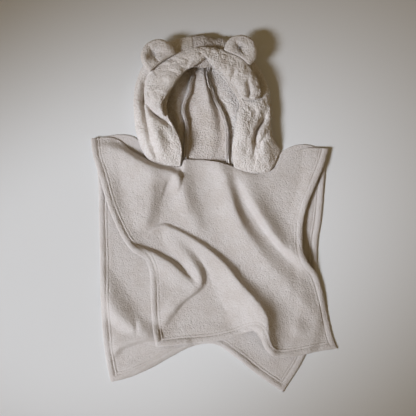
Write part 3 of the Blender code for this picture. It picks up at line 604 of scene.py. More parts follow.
FRONT_FOLDS = [
    Fold("neck_roll_left", (2, 1.8),
         [(-287, 165, 6, 14, 50), (-254, 162, 15, 14, 50), (-226, 152, 20, 13, 50),
          (-197, 134, 22, 12, 48), (-162, 117, 23, 11, 45), (-132, 108, 22, 10, 42),
          (-112, 104, 19, 9, 34), (-100, 98, 14, 8, 26)]),
    Fold("neck_roll_curl", (2.4, 1.8),
         [(-98, 116, 2, 7, 16), (-91, 100, 9, 5, 18), (-89, 84, 10, 5, 18),
          (-92, 70, 6, 6, 18), (-98, 58, 2, 8, 16)]),
    Fold("broad_left", (2, 1.6),
         [(-166, 122, 3, 24, 50), (-159, 84, 9, 24, 56), (-161, 40, 14, 22, 60),
          (-170, -8, 13, 22, 60), (-178, -46, 5, 22, 40)]),
    Fold("neck_ridge", (1.8, 1.6),
         [(-76, 129, 7, 16, 10), (-78, 92, 10, 20, 14), (-77, 55, 13, 24, 20),
          (-70, 20, 14, 26, 30), (-54, -15, 9, 26, 30), (-34, -50, 3, 22, 24)]),
    Fold("long_ridge", (1.8, 1.6),
         [(2, 134, 8, 22, 30), (18, 104, 12, 19, 32), (36, 54, 17, 15, 34),
          (52, 2, 20, 13, 36), (70, -34, 19, 16, 38), (92, -68, 16, 20, 40),
          (122, -106, 14, 27, 40), (154, -143, 14, 34, 40), (188, -180, 13, 34, 38),
          (219, -217, 10, 32, 34), (248, -254, 4, 26, 30)]),
    Fold("sharp_ridge", (1.7, 2.0),
         [(64, 96, 3, 30, 16), (80, 62, 11, 28, 14), (104, 16, 19, 27, 12),
          (134, -34, 22, 27, 10), (168, -76, 20, 28, 10), (204, -105, 15, 28, 13),
          (234, -126, 10, 26, 18)]),
    Fold("great_fold", (1.4, 1.6),
         [(-166, -52, 2, 5, 14), (-151, -38, 7, 4, 16), (-127, -29, 9, 4, 20),
          (-101, -38, 10, 4, 24), (-57, -61, 12, 5, 28), (-12, -92, 15, 6, 32),
          (26, -127, 18, 8, 36), (64, -175, 20, 12, 42), (94, -207, 21, 15, 46),
          (118, -238, 22, 17, 46), (126, -254, 22, 17, 46), (129, -284, 21, 17, 42),
          (133, -312, 18, 16, 34), (142, -333, 12, 14, 26)]),
    Fold("great_skirt", (1.4, 1.8),
         [(26, -127, 2, 34, 30), (64, -175, 9, 40, 44), (94, -207, 14, 46, 50),
          (120, -240, 18, 50, 52), (128, -270, 19, 52, 50), (134, -308, 16, 50, 40),
          (142, -333, 9, 44, 26)]),
    Fold("edge_fold", (2.4, 1.8),
         [(-204, -84, 8, 8, 26), (-191, -87, 11, 7, 28), (-159, -97, 15, 7, 32),
          (-129, -114, 17, 8, 34), (-102, -131, 17, 8, 34), (-82, -151, 14, 8, 30),
          (-67, -166, 9, 9, 24), (-57, -179, 3, 10, 18)]),
    Fold("tongue", (2, 1.8),
         [(-112, -66, 3, 18, 22), (-82, -92, 8, 15, 22), (-58, -120, 12, 13, 20),
          (-40, -148, 14, 11, 19), (-36, -171, 14, 9, 18), (-50, -191, 12, 9, 18),
          (-78, -212, 9, 10, 18), (-104, -242, 7, 11, 18), (-122, -268, 4, 12, 18)]),
    Fold("crescent", (1.6, 1.6),
         [(-50, -96, -1, 8, 8), (-28, -128, -3, 8, 8), (-18, -152, -5, 7, 7),
          (-14, -172, -6, 6, 6), (-31, -195, -6, 6, 6), (-52, -206, -6, 6, 6),
          (-82, -228, -5, 7, 7), (-107, -260, -4, 8, 8), (-124, -284, -2, 8, 8)]),
    Fold("lobe_dent", (2, 2),
         [(2, -214, -1, 22, 22), (7, -244, -5, 22, 22), (5, -278, -2, 22, 22)]),
    Fold("lower_lobe", (2, 2),
         [(-92, -204, 3, 30, 18), (-117, -244, 6, 30, 18), (-132, -289, 6, 30, 18),
          (-142, -327, 5, 30, 18)]),
    Fold("valley_lump", (2, 2),
         [(182, -262, 1, 20, 18), (205, -282, 6, 20, 18), (222, -300, 2, 20, 18)]),
    Fold("hem_right", (2, 2),
         [(229, -110, 4, 12, 26), (250, -135, 2, 12, 26), (262, -170, 1, 12, 26)]),
    Fold("neck_edge", (2, 2),
         [(-82, 130, 2, 20, 22), (-55, 128, 5, 20, 24), (-25, 127, 5, 20, 24),
          (7, 122, 5, 20, 24), (40, 112, 5, 20, 24), (72, 98, 2, 20, 24)]),
    Fold("shoulder_right", (2, 2),
         [(52, 105, 4, 18, 40), (97, 85, 8, 18, 40), (142, 90, 8, 18, 40),
          (187, 120, 6, 18, 40), (242, 145, 3, 18, 40)]),
    Fold("armhole_right", (2, 2),
         [(277, 155, 4, 30, 25), (262, 110, 7, 30, 25), (239, 60, 7, 30, 25),
          (217, -2, 8, 30, 25), (207, -52, 9, 30, 25), (212, -95, 8, 30, 25)]),
    Fold("armhole_left", (2, 2),
         [(-307, 180, 4, 25, 20), (-297, 140, 6, 25, 20), (-279, 85, 7, 25, 20),
          (-259, 22, 7, 25, 20), (-232, -45, 8, 25, 20), (-209, -85, 10, 25, 20)]),
]


def depth_inside(plan, outline):
    """Distance of each plan point from a closed outline, negative outside it."""
    corners = np.array([*outline, outline[0]], float)
    flat = plan.reshape(-1, 2)
    within = np.zeros(len(flat), bool)
    for a, b in zip(corners[:-1], corners[1:]):
        if a[1] == b[1]:
            continue
        crosses = (a[1] > flat[:, 1]) != (b[1] > flat[:, 1])
        x = a[0] + (flat[:, 1] - a[1]) * (b[0] - a[0]) / (b[1] - a[1])
        within ^= crosses & (flat[:, 0] < x)
    nearest = line_distance(flat, corners)
    return np.where(within, nearest, -nearest).reshape(plan.shape[:-1])


def front_rest(plan):
    """Height of what the front panel lies on: the back panel, or the floor past its edges."""
    neck = [point for point in BACK_TOP if abs(point[0]) >= NECK_HALF]
    outline = BACK_LEFT + BACK_BOTTOM[1:] + BACK_RIGHT[::-1][1:] + neck[::-1][1:-1]
    past_edge = depth_inside(plan, outline)
    hems = hem_distance(plan, BACK_HEMMED)
    room = HEM_ROOM * smooth((HEM_REACH + HEM_ROOM_SOFT - hems) / HEM_ROOM_SOFT)
    top = settled(folded(plan, BACK_FOLDS)) * (1 + SLOPE_LIFT) + CLOTH + room
    held_up = smooth((past_edge + DROP_END) / (DROP_END - DROP_START))
    return held_up * (top + FRONT_GAP)


front_terry = terry("front_terry", OATMEAL, OATMEAL_SHADE_AND_PATCHES, BODY_LOOPS, depth=0.34, bump=0.0011)
front_across = cloth_lines(HEM_LINES, FRONT_CELLS[0], HEM_LINES, PANEL)
front_down = cloth_lines(PLAIN_LINES, FRONT_CELLS[1], HEM_LINES, PANEL)
front_edges = (FRONT_LEFT, FRONT_RIGHT, FRONT_TOP, FRONT_BOTTOM)
front_plan = panel_plan(front_edges, front_across, front_down)
front_fold = settled(folded(front_plan, FRONT_FOLDS))
front_uneven = UNEVEN * handled(front_plan.shape[:2], UNEVEN_CELLS, 5)
front_middle = np.dstack([front_plan, front_rest(front_plan) + HALF + front_fold
                          + np.maximum(front_uneven, DEEPEST_DENT) * smooth(front_fold / UNEVEN_FROM)])
front_panel, front_face = cloth_wall("front_panel_cloth", front_middle, front_terry, PANEL_PILE, 12,
                                     rise=hem_rise(front_plan, FRONT_HEMMED))
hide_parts("front_panel")
front_needlework = needlework("front_needlework", hem_lines(front_face, front_plan, FRONT_HEMMED))

# ---- Hood side panels ----
# Two curved panels of terry that lie on the floor from the centre seam, bend up at the hood's
# outline and come back over the top to the face edge. Their seam allowances stand up inside.

SEAM_END_GAP = 0.9
SIDE_CELLS = (96, 108)
COLUMN = 18
FLOOR_COLUMN, BEND_COLUMN, TOP_COLUMN = 2 * COLUMN, 3 * COLUMN, 4 * COLUMN

# Sections from the neck (first row) to the crown (last row). Across: seam fin, its foot, the
# floor, the outer bend, the top, the middle, the rim.
HOOD_LEFT = [
    [(-75, 122, 6), (-79, 120, 1.5), (-145, 147, 1.5), (-184, 167, 9), (-161, 144, 12),
     (-121, 129, 14), (-86, 134, 14)],
    [(-75, 169, 14), (-78, 167, 1.5), (-162, 177, 1.5), (-194, 201, 22), (-165, 182, 40),
     (-123, 170, 43), (-82, 165, 36)],
    [(-72, 224, 15), (-75, 222, 1.5), (-167, 230, 1.5), (-199, 247, 26), (-169, 236, 42),
     (-137, 226, 44), (-101, 214, 39)],
    [(-82, 261, 15), (-85, 262, 1.5), (-170, 270, 1.5), (-200, 282, 27), (-172, 272, 41),
     (-147, 262, 42), (-116, 241, 40)],
    [(-70, 298, 14), (-73, 300, 1.5), (-167, 310, 1.5), (-195, 321, 27), (-170, 312, 40),
     (-147, 299, 42), (-118, 278, 41)],
    [(-62, 328, 12), (-65, 330, 1.5), (-155, 345, 1.5), (-181, 358, 27), (-158, 347, 39),
     (-135, 329, 41), (-106, 307, 41)],
    [(-61, 351, 9), (-64, 352, 1.5), (-125, 380, 1.5), (-156, 396, 25), (-135, 379, 37),
     (-116, 359, 40), (-88, 334, 41)],
    [(-61, 369, 6), (-66, 372, 1.5), (-92, 405, 1.5), (-112, 428, 19), (-99, 411, 31),
     (-86, 391, 39), (-70, 358, 41)],
    [(-59, 389, 4), (-61, 392, 1.5), (-60, 420, 1.5), (-57, 441, 15), (-54, 427, 27),
     (-52, 399, 37), (-52, 361, 41)],
]
HOOD_RIGHT = [
    [(34, 120, 6), (38, 117, 1.5), (104, 125, 1.5), (162, 162, 5), (136, 126, 12), (91, 112, 14),
     (47, 127, 14)],
    [(32, 164, 14), (35, 162, 1.5), (107, 170, 1.5), (143, 189, 23), (115, 170, 40), (81, 162, 43),
     (42, 163, 36)],
    [(30, 214, 15), (33, 215, 1.5), (107, 220, 1.5), (137, 218, 26), (110, 213, 45), (83, 213, 47),
     (50, 211, 42)],
    [(17, 255, 15), (20, 256, 1.5), (107, 258, 1.5), (138, 251, 27), (112, 251, 42), (88, 250, 43),
     (56, 250, 41)],
    [(2, 288, 14), (5, 290, 1.5), (105, 292, 1.5), (134, 287, 27), (110, 284, 40), (85, 279, 42),
     (59, 272, 41)],
    [(-8, 313, 13), (-5, 317, 1.5), (97, 325, 1.5), (127, 321, 27), (103, 315, 39), (78, 307, 41),
     (49, 295, 41)],
    [(-14, 331, 11), (-11, 335, 1.5), (82, 355, 1.5), (111, 354, 25), (88, 342, 38), (66, 332, 40),
     (34, 315, 41)],
    [(-18, 351, 8), (-14, 355, 1.5), (60, 385, 1.5), (84, 393, 24), (66, 377, 36), (46, 361, 40),
     (17, 337, 41)],
    [(-16, 369, 6), (-10, 372, 1.5), (35, 407, 1.5), (52, 421, 22), (39, 404, 34), (24, 384, 39),
     (2, 351, 41)],
    [(-8, 389, 4), (-5, 392, 1.5), (7, 417, 1.5), (17, 434, 20), (15, 419, 33), (7, 396, 39),
     (-8, 361, 41)],
]
# Creases of the top layer, and soft folds of the layer that lies on the floor.
LEFT_CREASES = [
    Fold("outer_crease", (1.5, 2),
         [(-162, 346, -5, 6, 8), (-171, 326, -12, 6, 8), (-176, 301, -16, 6, 8),
          (-177, 277, -18, 6, 8), (-174, 256, -18, 6, 8), (-168, 228, -17, 6, 9),
          (-160, 191, -14, 7, 10), (-149, 156, -9, 7, 9), (-142, 132, -3, 6, 8)]),
    Fold("under_lobe", (1.8, 1.8),
         [(-173, 292, -3, 6, 8), (-167, 274, -12, 5, 7), (-156, 254, -18, 5, 7),
          (-142, 241, -20, 5, 7), (-127, 232, -17, 5, 7), (-114, 221, -8, 5, 7)]),
    Fold("lobe_back", (2, 2),
         [(-150, 232, 2, 16, 12), (-146, 200, 6, 16, 14), (-134, 165, 5, 16, 14),
          (-124, 145, 2, 14, 12)]),
    Fold("lobe_hollow", (2, 2),
         [(-128, 214, -1, 12, 12), (-118, 190, -5, 12, 12), (-110, 166, -4, 12, 12),
          (-104, 148, -1, 10, 10)]),
    Fold("outer_dent", (1.8, 1.8),
         [(-186, 232, -2, 10, 12), (-181, 214, -5, 10, 12), (-178, 196, -2, 10, 10)]),
]
RIGHT_CREASES = [
    Fold("deep_crease", (1.6, 2),
         [(131, 262, -1, 9, 9), (125, 242, -8, 8, 8), (115, 224, -19, 6, 6),
          (103, 206, -23, 6, 5), (98, 188, -20, 7, 5), (99, 168, -14, 9, 7),
          (97, 146, -9, 10, 8), (97, 128, -3, 10, 8)]),
    Fold("past_brim", (1.8, 1.8),
         [(92, 356, -1, 9, 9), (105, 330, -4, 10, 9), (112, 302, -5, 10, 9),
          (108, 284, -4, 10, 9), (99, 270, -1, 9, 9)]),
    Fold("short_crease", (1.8, 1.8),
         [(124, 192, -3, 5, 6), (113, 176, -10, 5, 6), (109, 160, -4, 5, 6)]),
    Fold("right_lump", (2, 2),
         [(72, 246, 3, 16, 14), (66, 216, 6, 16, 14), (60, 180, 4, 16, 14),
          (58, 150, 2, 14, 14)]),
    Fold("lump_hollow", (2, 2),
         [(88, 176, -1, 10, 9), (80, 158, -5, 10, 9), (70, 142, -2, 10, 9)]),
]
LEFT_LINING = [
    Fold("lining_fold", (2, 1.6),
         [(-103, 318, 6, 12, 16), (-97, 285, 9, 12, 16), (-94, 258, 10, 12, 16),
          (-88, 215, 8, 9, 14), (-86, 185, 4, 8, 12)]),
]
RIGHT_LINING = [
    Fold("lining_fold", (2, 2),
         [(30, 300, 3, 14, 14), (46, 262, 5, 14, 14), (54, 225, 3, 14, 14)]),
]


def spaced(sections, cells):
    """Knots of sections by their mean distances, and the places of evenly many cells in each."""
    steps = np.linalg.norm(np.diff(sections, axis=0), axis=-1).mean(axis=1)
    knots = running(steps)
    return knots, np.interp(np.linspace(0, len(steps), cells + 1), np.arange(len(knots)), knots)


def woven_rows(sections, cells):
    """Smooth surface through rows of section points, cells[0] by cells[1] faces."""
    rows = np.asarray(sections, float)
    lengthwise = through(rows, *spaced(rows, cells[0]))
    columns = np.swapaxes(lengthwise, 0, 1)
    surface = np.swapaxes(through(columns, *spaced(columns, cells[1])), 0, 1)
    surface[..., 2] = np.maximum(surface[..., 2], HALF)
    return surface


def sew_to_edge(row, edge, columns):
    """Move a row's points to a panel's neck edge, SEAM_END_GAP clear of it."""
    for k in columns:
        x = row[k][0]
        row[k][1] = np.interp(x, edge[:, 0], edge[:, 1]) + SEAM_END_GAP
        row[k][2] = np.interp(x, edge[:, 0], edge[:, 2])


def keep_beyond(row, edge, columns):
    """Keep a row's points beyond a panel's neck edge."""
    for k in columns:
        least = np.interp(row[k][0], edge[:, 0], edge[:, 1]) + SEAM_END_GAP
        row[k][1] = max(row[k][1], least)


# Height of a panel's unevenness, and the numbers of its lumps down and across.
SIDE_LUMPS = [(1.4, (10, 9)), (0.8, (26, 17)), (0.4, (46, 42))]
FLOOR_LUMPS = 0.3       # share of the lumps in the layer on the floor
HOOD_PILE = 0.6
NECK_EASE = 5           # rows from the neck where the forms are whole
CROWN_EASE = 8          # rows from the crown where they begin to fade
FIN_COLUMNS = 1.4 * COLUMN
FIN_SWAY, FIN_LIFT, FIN_WAVES = 1.5, 1.2, (13, 1)
TOP_EASE = 14           # columns past the bend where the top's creases are whole
# Columns where the floor layer's folds start and come up, and where they stop and die away.
LINING_FROM, LINING_EASE = 16, 6
LINING_PAST, LINING_FADE = 4, 12
RIM_ROLL, RIM_COLUMNS = 0.9, 5
RIM_LUMPS, RIM_FADE = 0.3, 10
WOBBLE_SEED = 7


def hood_side(name, sections, creases, lining, material, seed):
    """One side panel; its first section is sewn to the neck edges of the back and the front."""
    rows = [[list(point) for point in section] for section in sections]
    sew_to_edge(rows[0], back_middle[0], (1, 2))
    sew_to_edge(rows[0], front_middle[0], (4, 5, 6))
    middle = woven_rows(rows, SIDE_CELLS)
    keep_beyond(middle[0], back_middle[0], range(BEND_COLUMN))
    keep_beyond(middle[0], front_middle[0], range(BEND_COLUMN, TOP_COLUMN))
    sew_to_edge(middle[0], front_middle[0], range(TOP_COLUMN, SIDE_CELLS[1] + 1))
    column = np.arange(SIDE_CELLS[1] + 1)[None, :]
    row = np.arange(SIDE_CELLS[0] + 1)[:, None]
    from_neck = smooth(row / NECK_EASE)
    to_crown = smooth((SIDE_CELLS[0] - row) / CROWN_EASE)
    fin = (1 - smooth(column / FIN_COLUMNS)) * from_neck * to_crown
    wobble = handled((SIDE_CELLS[0] + 1, 2), FIN_WAVES, seed + WOBBLE_SEED)
    middle[..., 0] += FIN_SWAY * wobble[:, :1] * fin
    middle[..., 2] += FIN_LIFT * wobble[:, 1:] * fin * smooth((COLUMN - column) / COLUMN)
    seam = middle.copy()
    above = smooth((column - BEND_COLUMN) / TOP_EASE) * from_neck
    below = 1 - smooth((column - FLOOR_COLUMN - LINING_PAST) / LINING_FADE)
    below = below * smooth((column - LINING_FROM) / LINING_EASE) * from_neck
    pressed = folded(middle[..., :2], creases)
    lifted = folded(middle[..., :2], lining)
    middle[..., 2] += pressed * above + lifted * below
    layers = [(height, cells, seed + cells[0]) for height, cells in SIDE_LUMPS]
    lumps = lumpy(middle.shape[:2], layers)
    lumps *= (FLOOR_LUMPS + (1 - FLOOR_LUMPS) * above) * to_crown
    middle[..., 2] += lumps * smooth((SIDE_CELLS[1] - column) / RIM_FADE + RIM_LUMPS)
    from_rim = (SIDE_CELLS[1] - RIM_COLUMNS - column) / RIM_COLUMNS
    rim = RIM_ROLL * np.exp(-from_rim ** 2) * np.ones_like(row)
    piece, _ = cloth_wall(name + "_cloth", middle, material, HOOD_PILE, seed, rise=rim,
                          edge=BLUNT_EDGE)
    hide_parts(name)
    return piece, seam


# Painted light: the side, brim and ear terry is a lighter copy of the same cloth, for the light on the
# hood's outside; the second colour is the painted shade between its loops, also used for its patches.
LIT_LINING = (0.93, 0.88, 0.84, 1)
LINING_SHADE_AND_PATCHES = (0.69, 0.61, 0.54, 1)
SIDE_LOOPS, HOOD_LOOPS, EAR_LOOPS = 270.0, 290.0, 300.0
# Depth of the painted shade at the pile's roots, and the relief of the loops in metres.
LOOP_SHADE, LOOP_RELIEF = 0.62, 0.0024
side_left_terry, side_right_terry = [
    terry(name, LIT_LINING, LINING_SHADE_AND_PATCHES, SIDE_LOOPS, LOOP_SHADE, LOOP_RELIEF)
    for name in ("side_left_terry", "side_right_terry")]
hood_side_left, seam_left = hood_side("hood_side_left", HOOD_LEFT, LEFT_CREASES, LEFT_LINING,
                                      side_left_terry, 21)
hood_side_right, seam_right = hood_side("hood_side_right", HOOD_RIGHT, RIGHT_CREASES,
                                        RIGHT_LINING, side_right_terry, 22)

# ---- Hood centre strip ----
# Long strip of terry between the side panels, from the nape along the floor, up at the crown
# and forward to the rim. Its two seams stand up as fins inside the hood.

FIN_SPACING = 3.4
CROWN_SPACING = 0.4
CENTRE_CELLS = 44
CROWN_FROM, CROWN_ROWS = 4, 14      # rows past the crown's seam where the fins close up
Middle = namedtuple("Middle", "x y z foot_z foot_in")
HOOD_CENTRE = [
    Middle(-18, 112, 1.5, 1.5, 4),
    Middle(-6, 165, 4, 1.5, 3),
    Middle(-8, 219, 9, 1.5, 3),
    Middle(-14, 258, 13, 1.5, 3),
    Middle(-19, 293, 15, 1.5, 3),
    Middle(-25, 322, 15, 1.5, 3),
    Middle(-29, 346, 12, 1.5, 3),
    Middle(-33, 366, 7, 1.5, 4),
    Middle(-32, 390, 2, 1.5, 6),
    Middle(-27, 418, 1.5, 1.5, 10),
    Middle(-24, 440, 19, 17, 12),
    Middle(-22, 428, 32, 30, 12),
    Middle(-24, 398, 39, 39, 10),
    Middle(-29, 359, 41, 41, 8),
]


def seam_edge(side):
    """The edge that a side panel shares with the centre strip, from the nape to the rim."""
    return np.vstack([side[:, 0], side[-1, FLOOR_COLUMN:]])


def hood_centre_strip():
    """Middle of the strip's cloth, between the edges that the two side panels share with it."""
    seam_rows = np.arange(SIDE_CELLS[0] + SIDE_CELLS[1] - FLOOR_COLUMN + 2)
    crown = smooth((seam_rows - SIDE_CELLS[0] - CROWN_FROM) / CROWN_ROWS)
    apart = np.zeros((len(crown), 3))
    apart[:, 0] = FIN_SPACING + (CROWN_SPACING - FIN_SPACING) * crown
    edge_l = seam_edge(seam_left) + apart
    edge_r = seam_edge(seam_right) - apart
    lower = np.linspace(0, len(HOOD_LEFT) - 1, SIDE_CELLS[0] + 1)
    upper = np.linspace(len(HOOD_LEFT), len(HOOD_CENTRE) - 1, SIDE_CELLS[1] - FLOOR_COLUMN + 1)
    lines = through(HOOD_CENTRE, np.arange(len(HOOD_CENTRE)), np.concatenate([lower, upper]))
    rows = []
    for low, high, (x, y, z, foot_z, foot_in) in zip(edge_l, edge_r, lines):
        foot_l = (low[0] + foot_in, low[1], foot_z)
        foot_r = (high[0] - foot_in, high[1], foot_z)
        rows.append([low, foot_l, (x, y, z), foot_r, high])
    rows[0] = [list(point) for point in rows[0]]
    sew_to_edge(rows[0], back_middle[0], (1, 2, 3))
    middle = woven_rows(rows, (len(rows) - 1, CENTRE_CELLS))
    keep_beyond(middle[0], back_middle[0], range(CENTRE_CELLS + 1))
    return middle


# Painted shade: the centre strip's terry is a darker copy of the hood's, for the shade inside the
# hood; the second colour is the painted shade between its loops, also used for its patches.
CENTRE_SHADED_TIPS = (0.79, 0.73, 0.69, 1)
CENTRE_SHADE_AND_PATCHES = (0.55, 0.47, 0.40, 1)
CENTRE_NECK_EASE, CENTRE_EASE = 4, 5
CENTRE_SWELLS = [(0.5, (26, 6), 31)]
CENTRE_LUMPS = [(0.4, (64, 14), 33)]
centre_terry = terry("centre_terry", CENTRE_SHADED_TIPS, CENTRE_SHADE_AND_PATCHES, HOOD_LOOPS, LOOP_SHADE, LOOP_RELIEF)
CENTRE_FOLDS = [
    Fold("ridge", (1.6, 1.8),
         [(-26, 366, 2, 4, 9), (-21, 345, 6, 4, 10), (-17, 325, 8, 4, 11), (-13, 300, 9, 4, 12),
          (-8, 275, 8, 5, 13), (-2, 248, 5, 6, 13), (2, 220, 3, 7, 13), (4, 190, 1, 8, 12)]),
]
centre_middle = hood_centre_strip()
centre_row = np.arange(len(centre_middle))[:, None]
ridge = folded(centre_middle[..., :2], CENTRE_FOLDS)
centre_middle[..., 2] += ridge * (centre_row < SIDE_CELLS[0])
centre_column = np.arange(CENTRE_CELLS + 1)[None, :]
centre_lumps = (np.abs(lumpy(centre_middle.shape[:2], CENTRE_SWELLS))
                + lumpy(centre_middle.shape[:2], CENTRE_LUMPS))
centre_lumps *= smooth(centre_row / CENTRE_NECK_EASE) * smooth(centre_column / CENTRE_EASE)
centre_middle[..., 2] += centre_lumps * smooth((CENTRE_CELLS - centre_column) / CENTRE_EASE)
hood_centre, _ = cloth_wall("hood_centre_cloth", centre_middle, centre_terry, HOOD_PILE, 32,
                            edge=BLUNT_EDGE)
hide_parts("hood_centre")

# Overlock stitches that close the two seam allowances from the nape to the crown.
OVERLOCK_FROM, OVERLOCK_TO = 6, 88
OVERLOCK_PITCH, OVERLOCK_LENGTH, OVERLOCK_WIDTH = 2.9, 5.0, 1.5
OVERLOCK_LIFT = (0, 0, 0.3)
overlock_lines = []
for side_edge, centre_edge in ((seam_left[:, 0], centre_middle[:SIDE_CELLS[0] + 1, 0]),
                               (seam_right[:, 0], centre_middle[:SIDE_CELLS[0] + 1, -1])):
    line = (side_edge + centre_edge)[OVERLOCK_FROM:OVERLOCK_TO] / 2
    overlock_lines.append(line + OVERLOCK_LIFT)
overlock = needlework("seam_overlock", overlock_lines, OVERLOCK_PITCH, OVERLOCK_LENGTH,
                      OVERLOCK_WIDTH, crosswise=True)

# ---- Hood brim ----
# Band of terry along the face edge, turned back over the hood as a soft cuff. It meets in a
# notch at the top, and ends in a loose lobe on each side.

BRIM_CELLS = (300, 50)
Brim = namedtuple("Brim", "outer_x outer_y inner_x inner_y crest seat")
HOOD_BRIM = [
    Brim(-140, 250, -124, 239, 54, 45.3),
    Brim(-159, 269, -130, 267, 56, 45.3),
    Brim(-169, 290, -122, 288, 60, 45.3),
    Brim(-167, 317, -105, 312, 61, 44.8),
    Brim(-159, 342, -93, 331, 61, 44.3),
    Brim(-139, 364, -81, 344, 61, 44.3),
    Brim(-110, 383, -69, 355, 60, 44.3),
    Brim(-83, 397, -52, 363, 60, 44.3),
    Brim(-57, 405, -35, 375, 60, 44.3),
    Brim(-37, 408, -22, 383, 59, 44.3),
    Brim(-15, 408, -14, 372, 60, 44.3),
    Brim(9, 404, -2, 359, 60, 44.3),
    Brim(34, 394, 15, 349, 60, 44.3),
    Brim(59, 383, 31, 329, 61, 44.3),
    Brim(80, 365, 46, 315, 61, 44.3),
    Brim(96, 342, 57, 303, 61, 44.8),
    Brim(107, 318, 62, 291, 59, 45.3),
    Brim(111, 296, 69, 284, 56, 45.3),
    Brim(102, 280, 80, 279, 52, 45.3),
]
# Across the brim: share of the way from the outer to the inner edge, share of the height from
# the seat to the crest. The left lobe rises towards its inner edge.
BRIM_SECTION = [(0.0, 0.45), (0.2, 0.85), (0.5, 1.0), (0.85, 0.93), (1.0, 0.5), (0.86, 0.0)]
LEFT_SECTION = [(0.0, 0.12), (0.2, 0.42), (0.5, 0.78), (0.82, 1.0), (1.0, 0.55), (0.86, 0.0)]
LEFT_ROWS, LEFT_EASE = 9, 3
# Shares of the way across: where the dents and lumps are whole, where they end, and their fade.
TOP_RISE, TOP_END, TOP_FADE = 0.12, 0.86, 0.2
BRIM_LUMPS = [(1.3, (42, 6), 41), (0.5, (90, 12), 43)]
BRIM_DENTS = [
    Fold("ruffle", (2, 1.6), [(-60, 384, -1, 6, 6), (-64, 374, -4, 6, 6), (-70, 360, -3, 6, 6)]),
    Fold("slot", (1.6, 2),
         [(82, 328, -2, 4, 6), (83, 314, -10, 4, 6), (85, 298, -13, 4, 6), (84, 286, -6, 4, 6)]),
    Fold("right_dent", (2, 2),
         [(22, 385, -2, 12, 12), (36, 374, -4, 12, 12), (52, 366, -3, 12, 12)]),
    Fold("left_dent", (2, 2),
         [(-140, 338, -1, 14, 14), (-128, 322, -2.5, 14, 14), (-122, 306, -1, 14, 14)]),
    Fold("lobe_roll", (2, 2),
         [(-150, 300, 1, 10, 10), (-148, 275, 3, 9, 9), (-138, 254, 2, 7, 7)]),
]


def brim_rows():
    """The brim's sections from its left lobe to its right one."""
    rows = []
    for i, row in enumerate(HOOD_BRIM):
        leftward = smooth((LEFT_ROWS - i) / LEFT_EASE)
        section = []
        for (inward, up), (_, up_left) in zip(BRIM_SECTION, LEFT_SECTION):
            up = up + (up_left - up) * leftward
            x = row.outer_x + (row.inner_x - row.outer_x) * inward
            y = row.outer_y + (row.inner_y - row.outer_y) * inward
            section.append((x, y, row.seat + (row.crest - row.seat) * up))
        rows.append(section)
    return rows


brim_terry = terry("brim_terry", LIT_LINING, LINING_SHADE_AND_PATCHES, HOOD_LOOPS, LOOP_SHADE, LOOP_RELIEF)
brim_middle = woven_rows(brim_rows(), BRIM_CELLS)
brim_across = np.arange(BRIM_CELLS[1] + 1)[None, :] / BRIM_CELLS[1]
brim_top = smooth(brim_across / TOP_RISE) * smooth((TOP_END - brim_across) / TOP_FADE)
brim_pressed = folded(brim_middle[..., :2], BRIM_DENTS)
brim_lumps = lumpy(brim_middle.shape[:2], BRIM_LUMPS)
brim_middle[..., 2] += brim_top * (brim_pressed + brim_lumps)
hood_brim, _ = cloth_wall("hood_brim_cloth", brim_middle, brim_terry, HOOD_PILE, 42)
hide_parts("hood_brim")

# ---- Ears ----
# Two round ears of terry, each of two layers with a little wadding, pressed into a dish and
# sewn to the brim's outer edge along their foot.

EAR_LIFT = 52.0
EAR_CLEAR = 1.4
EAR_SIDES = 120
EAR_RINGS = 46
EAR_POLE = 0.004        # share of the radius left open before the middle is capped
EAR_LUMP, EAR_LUMP_CELLS = 1.3, (6, 9)
EAR_PILE = 0.55
RIM_EASE, JOIN_EASE = 5, 12
Ear = namedtuple("Ear", "x y radius dish_x dish_y dish_depth creases")
EARS = {
    "ear_left": Ear(-139, 385, 42.9, -152, 394, 0.85,
                    [Fold("crease", (1.6, 2),
                          [(-161, 410, -3, 5, 6), (-153, 396, -8, 5, 6), (-146, 382, -8, 5, 6),
                           (-136, 373, -3, 5, 7)])]),
    "ear_right": Ear(62, 398, 40.5, 60, 408, 0.55,
                     [Fold("crease", (2, 2),
                           [(50, 408, -1, 6, 6), (58, 410, -2, 6, 6), (64, 404, -1, 6, 6)])]),
}
# Round an ear from the middle of its dish to the middle of its back: share of the radius, height.
EAR_SECTION = [(0.0, -2.0), (0.2, -0.5), (0.4, 5.0), (0.62, 8.5), (0.87, 7.5), (1.0, 1.0),
               (0.92, -5.0), (0.7, -6.5), (0.35, -6.5), (0.0, -6.5)]
DISH_RIM = 8.5
DISH_POINTS = 4


def ear_reach(ear, direction):
    """How far an ear spreads in one direction before it meets the brim's outer edge."""
    corners = [(row.outer_x, row.outer_y) for row in HOOD_BRIM]
    edge = edge_curve(corners, np.linspace(0, 1, CREST_SAMPLES))
    centre = np.array([ear.x, ear.y])
    reach = ear.radius
    for a, b in zip(edge[:-1], edge[1:]):
        matrix = np.array([direction, a - b]).T
        if abs(np.linalg.det(matrix)) < 1e-9:
            continue
        distance, share = np.linalg.solve(matrix, a - centre)
        if distance > 0 and 0 <= share <= 1:
            across = abs(np.linalg.det(matrix)) / np.linalg.norm(b - a)
            reach = min(reach, distance - EAR_CLEAR / across)
    return reach


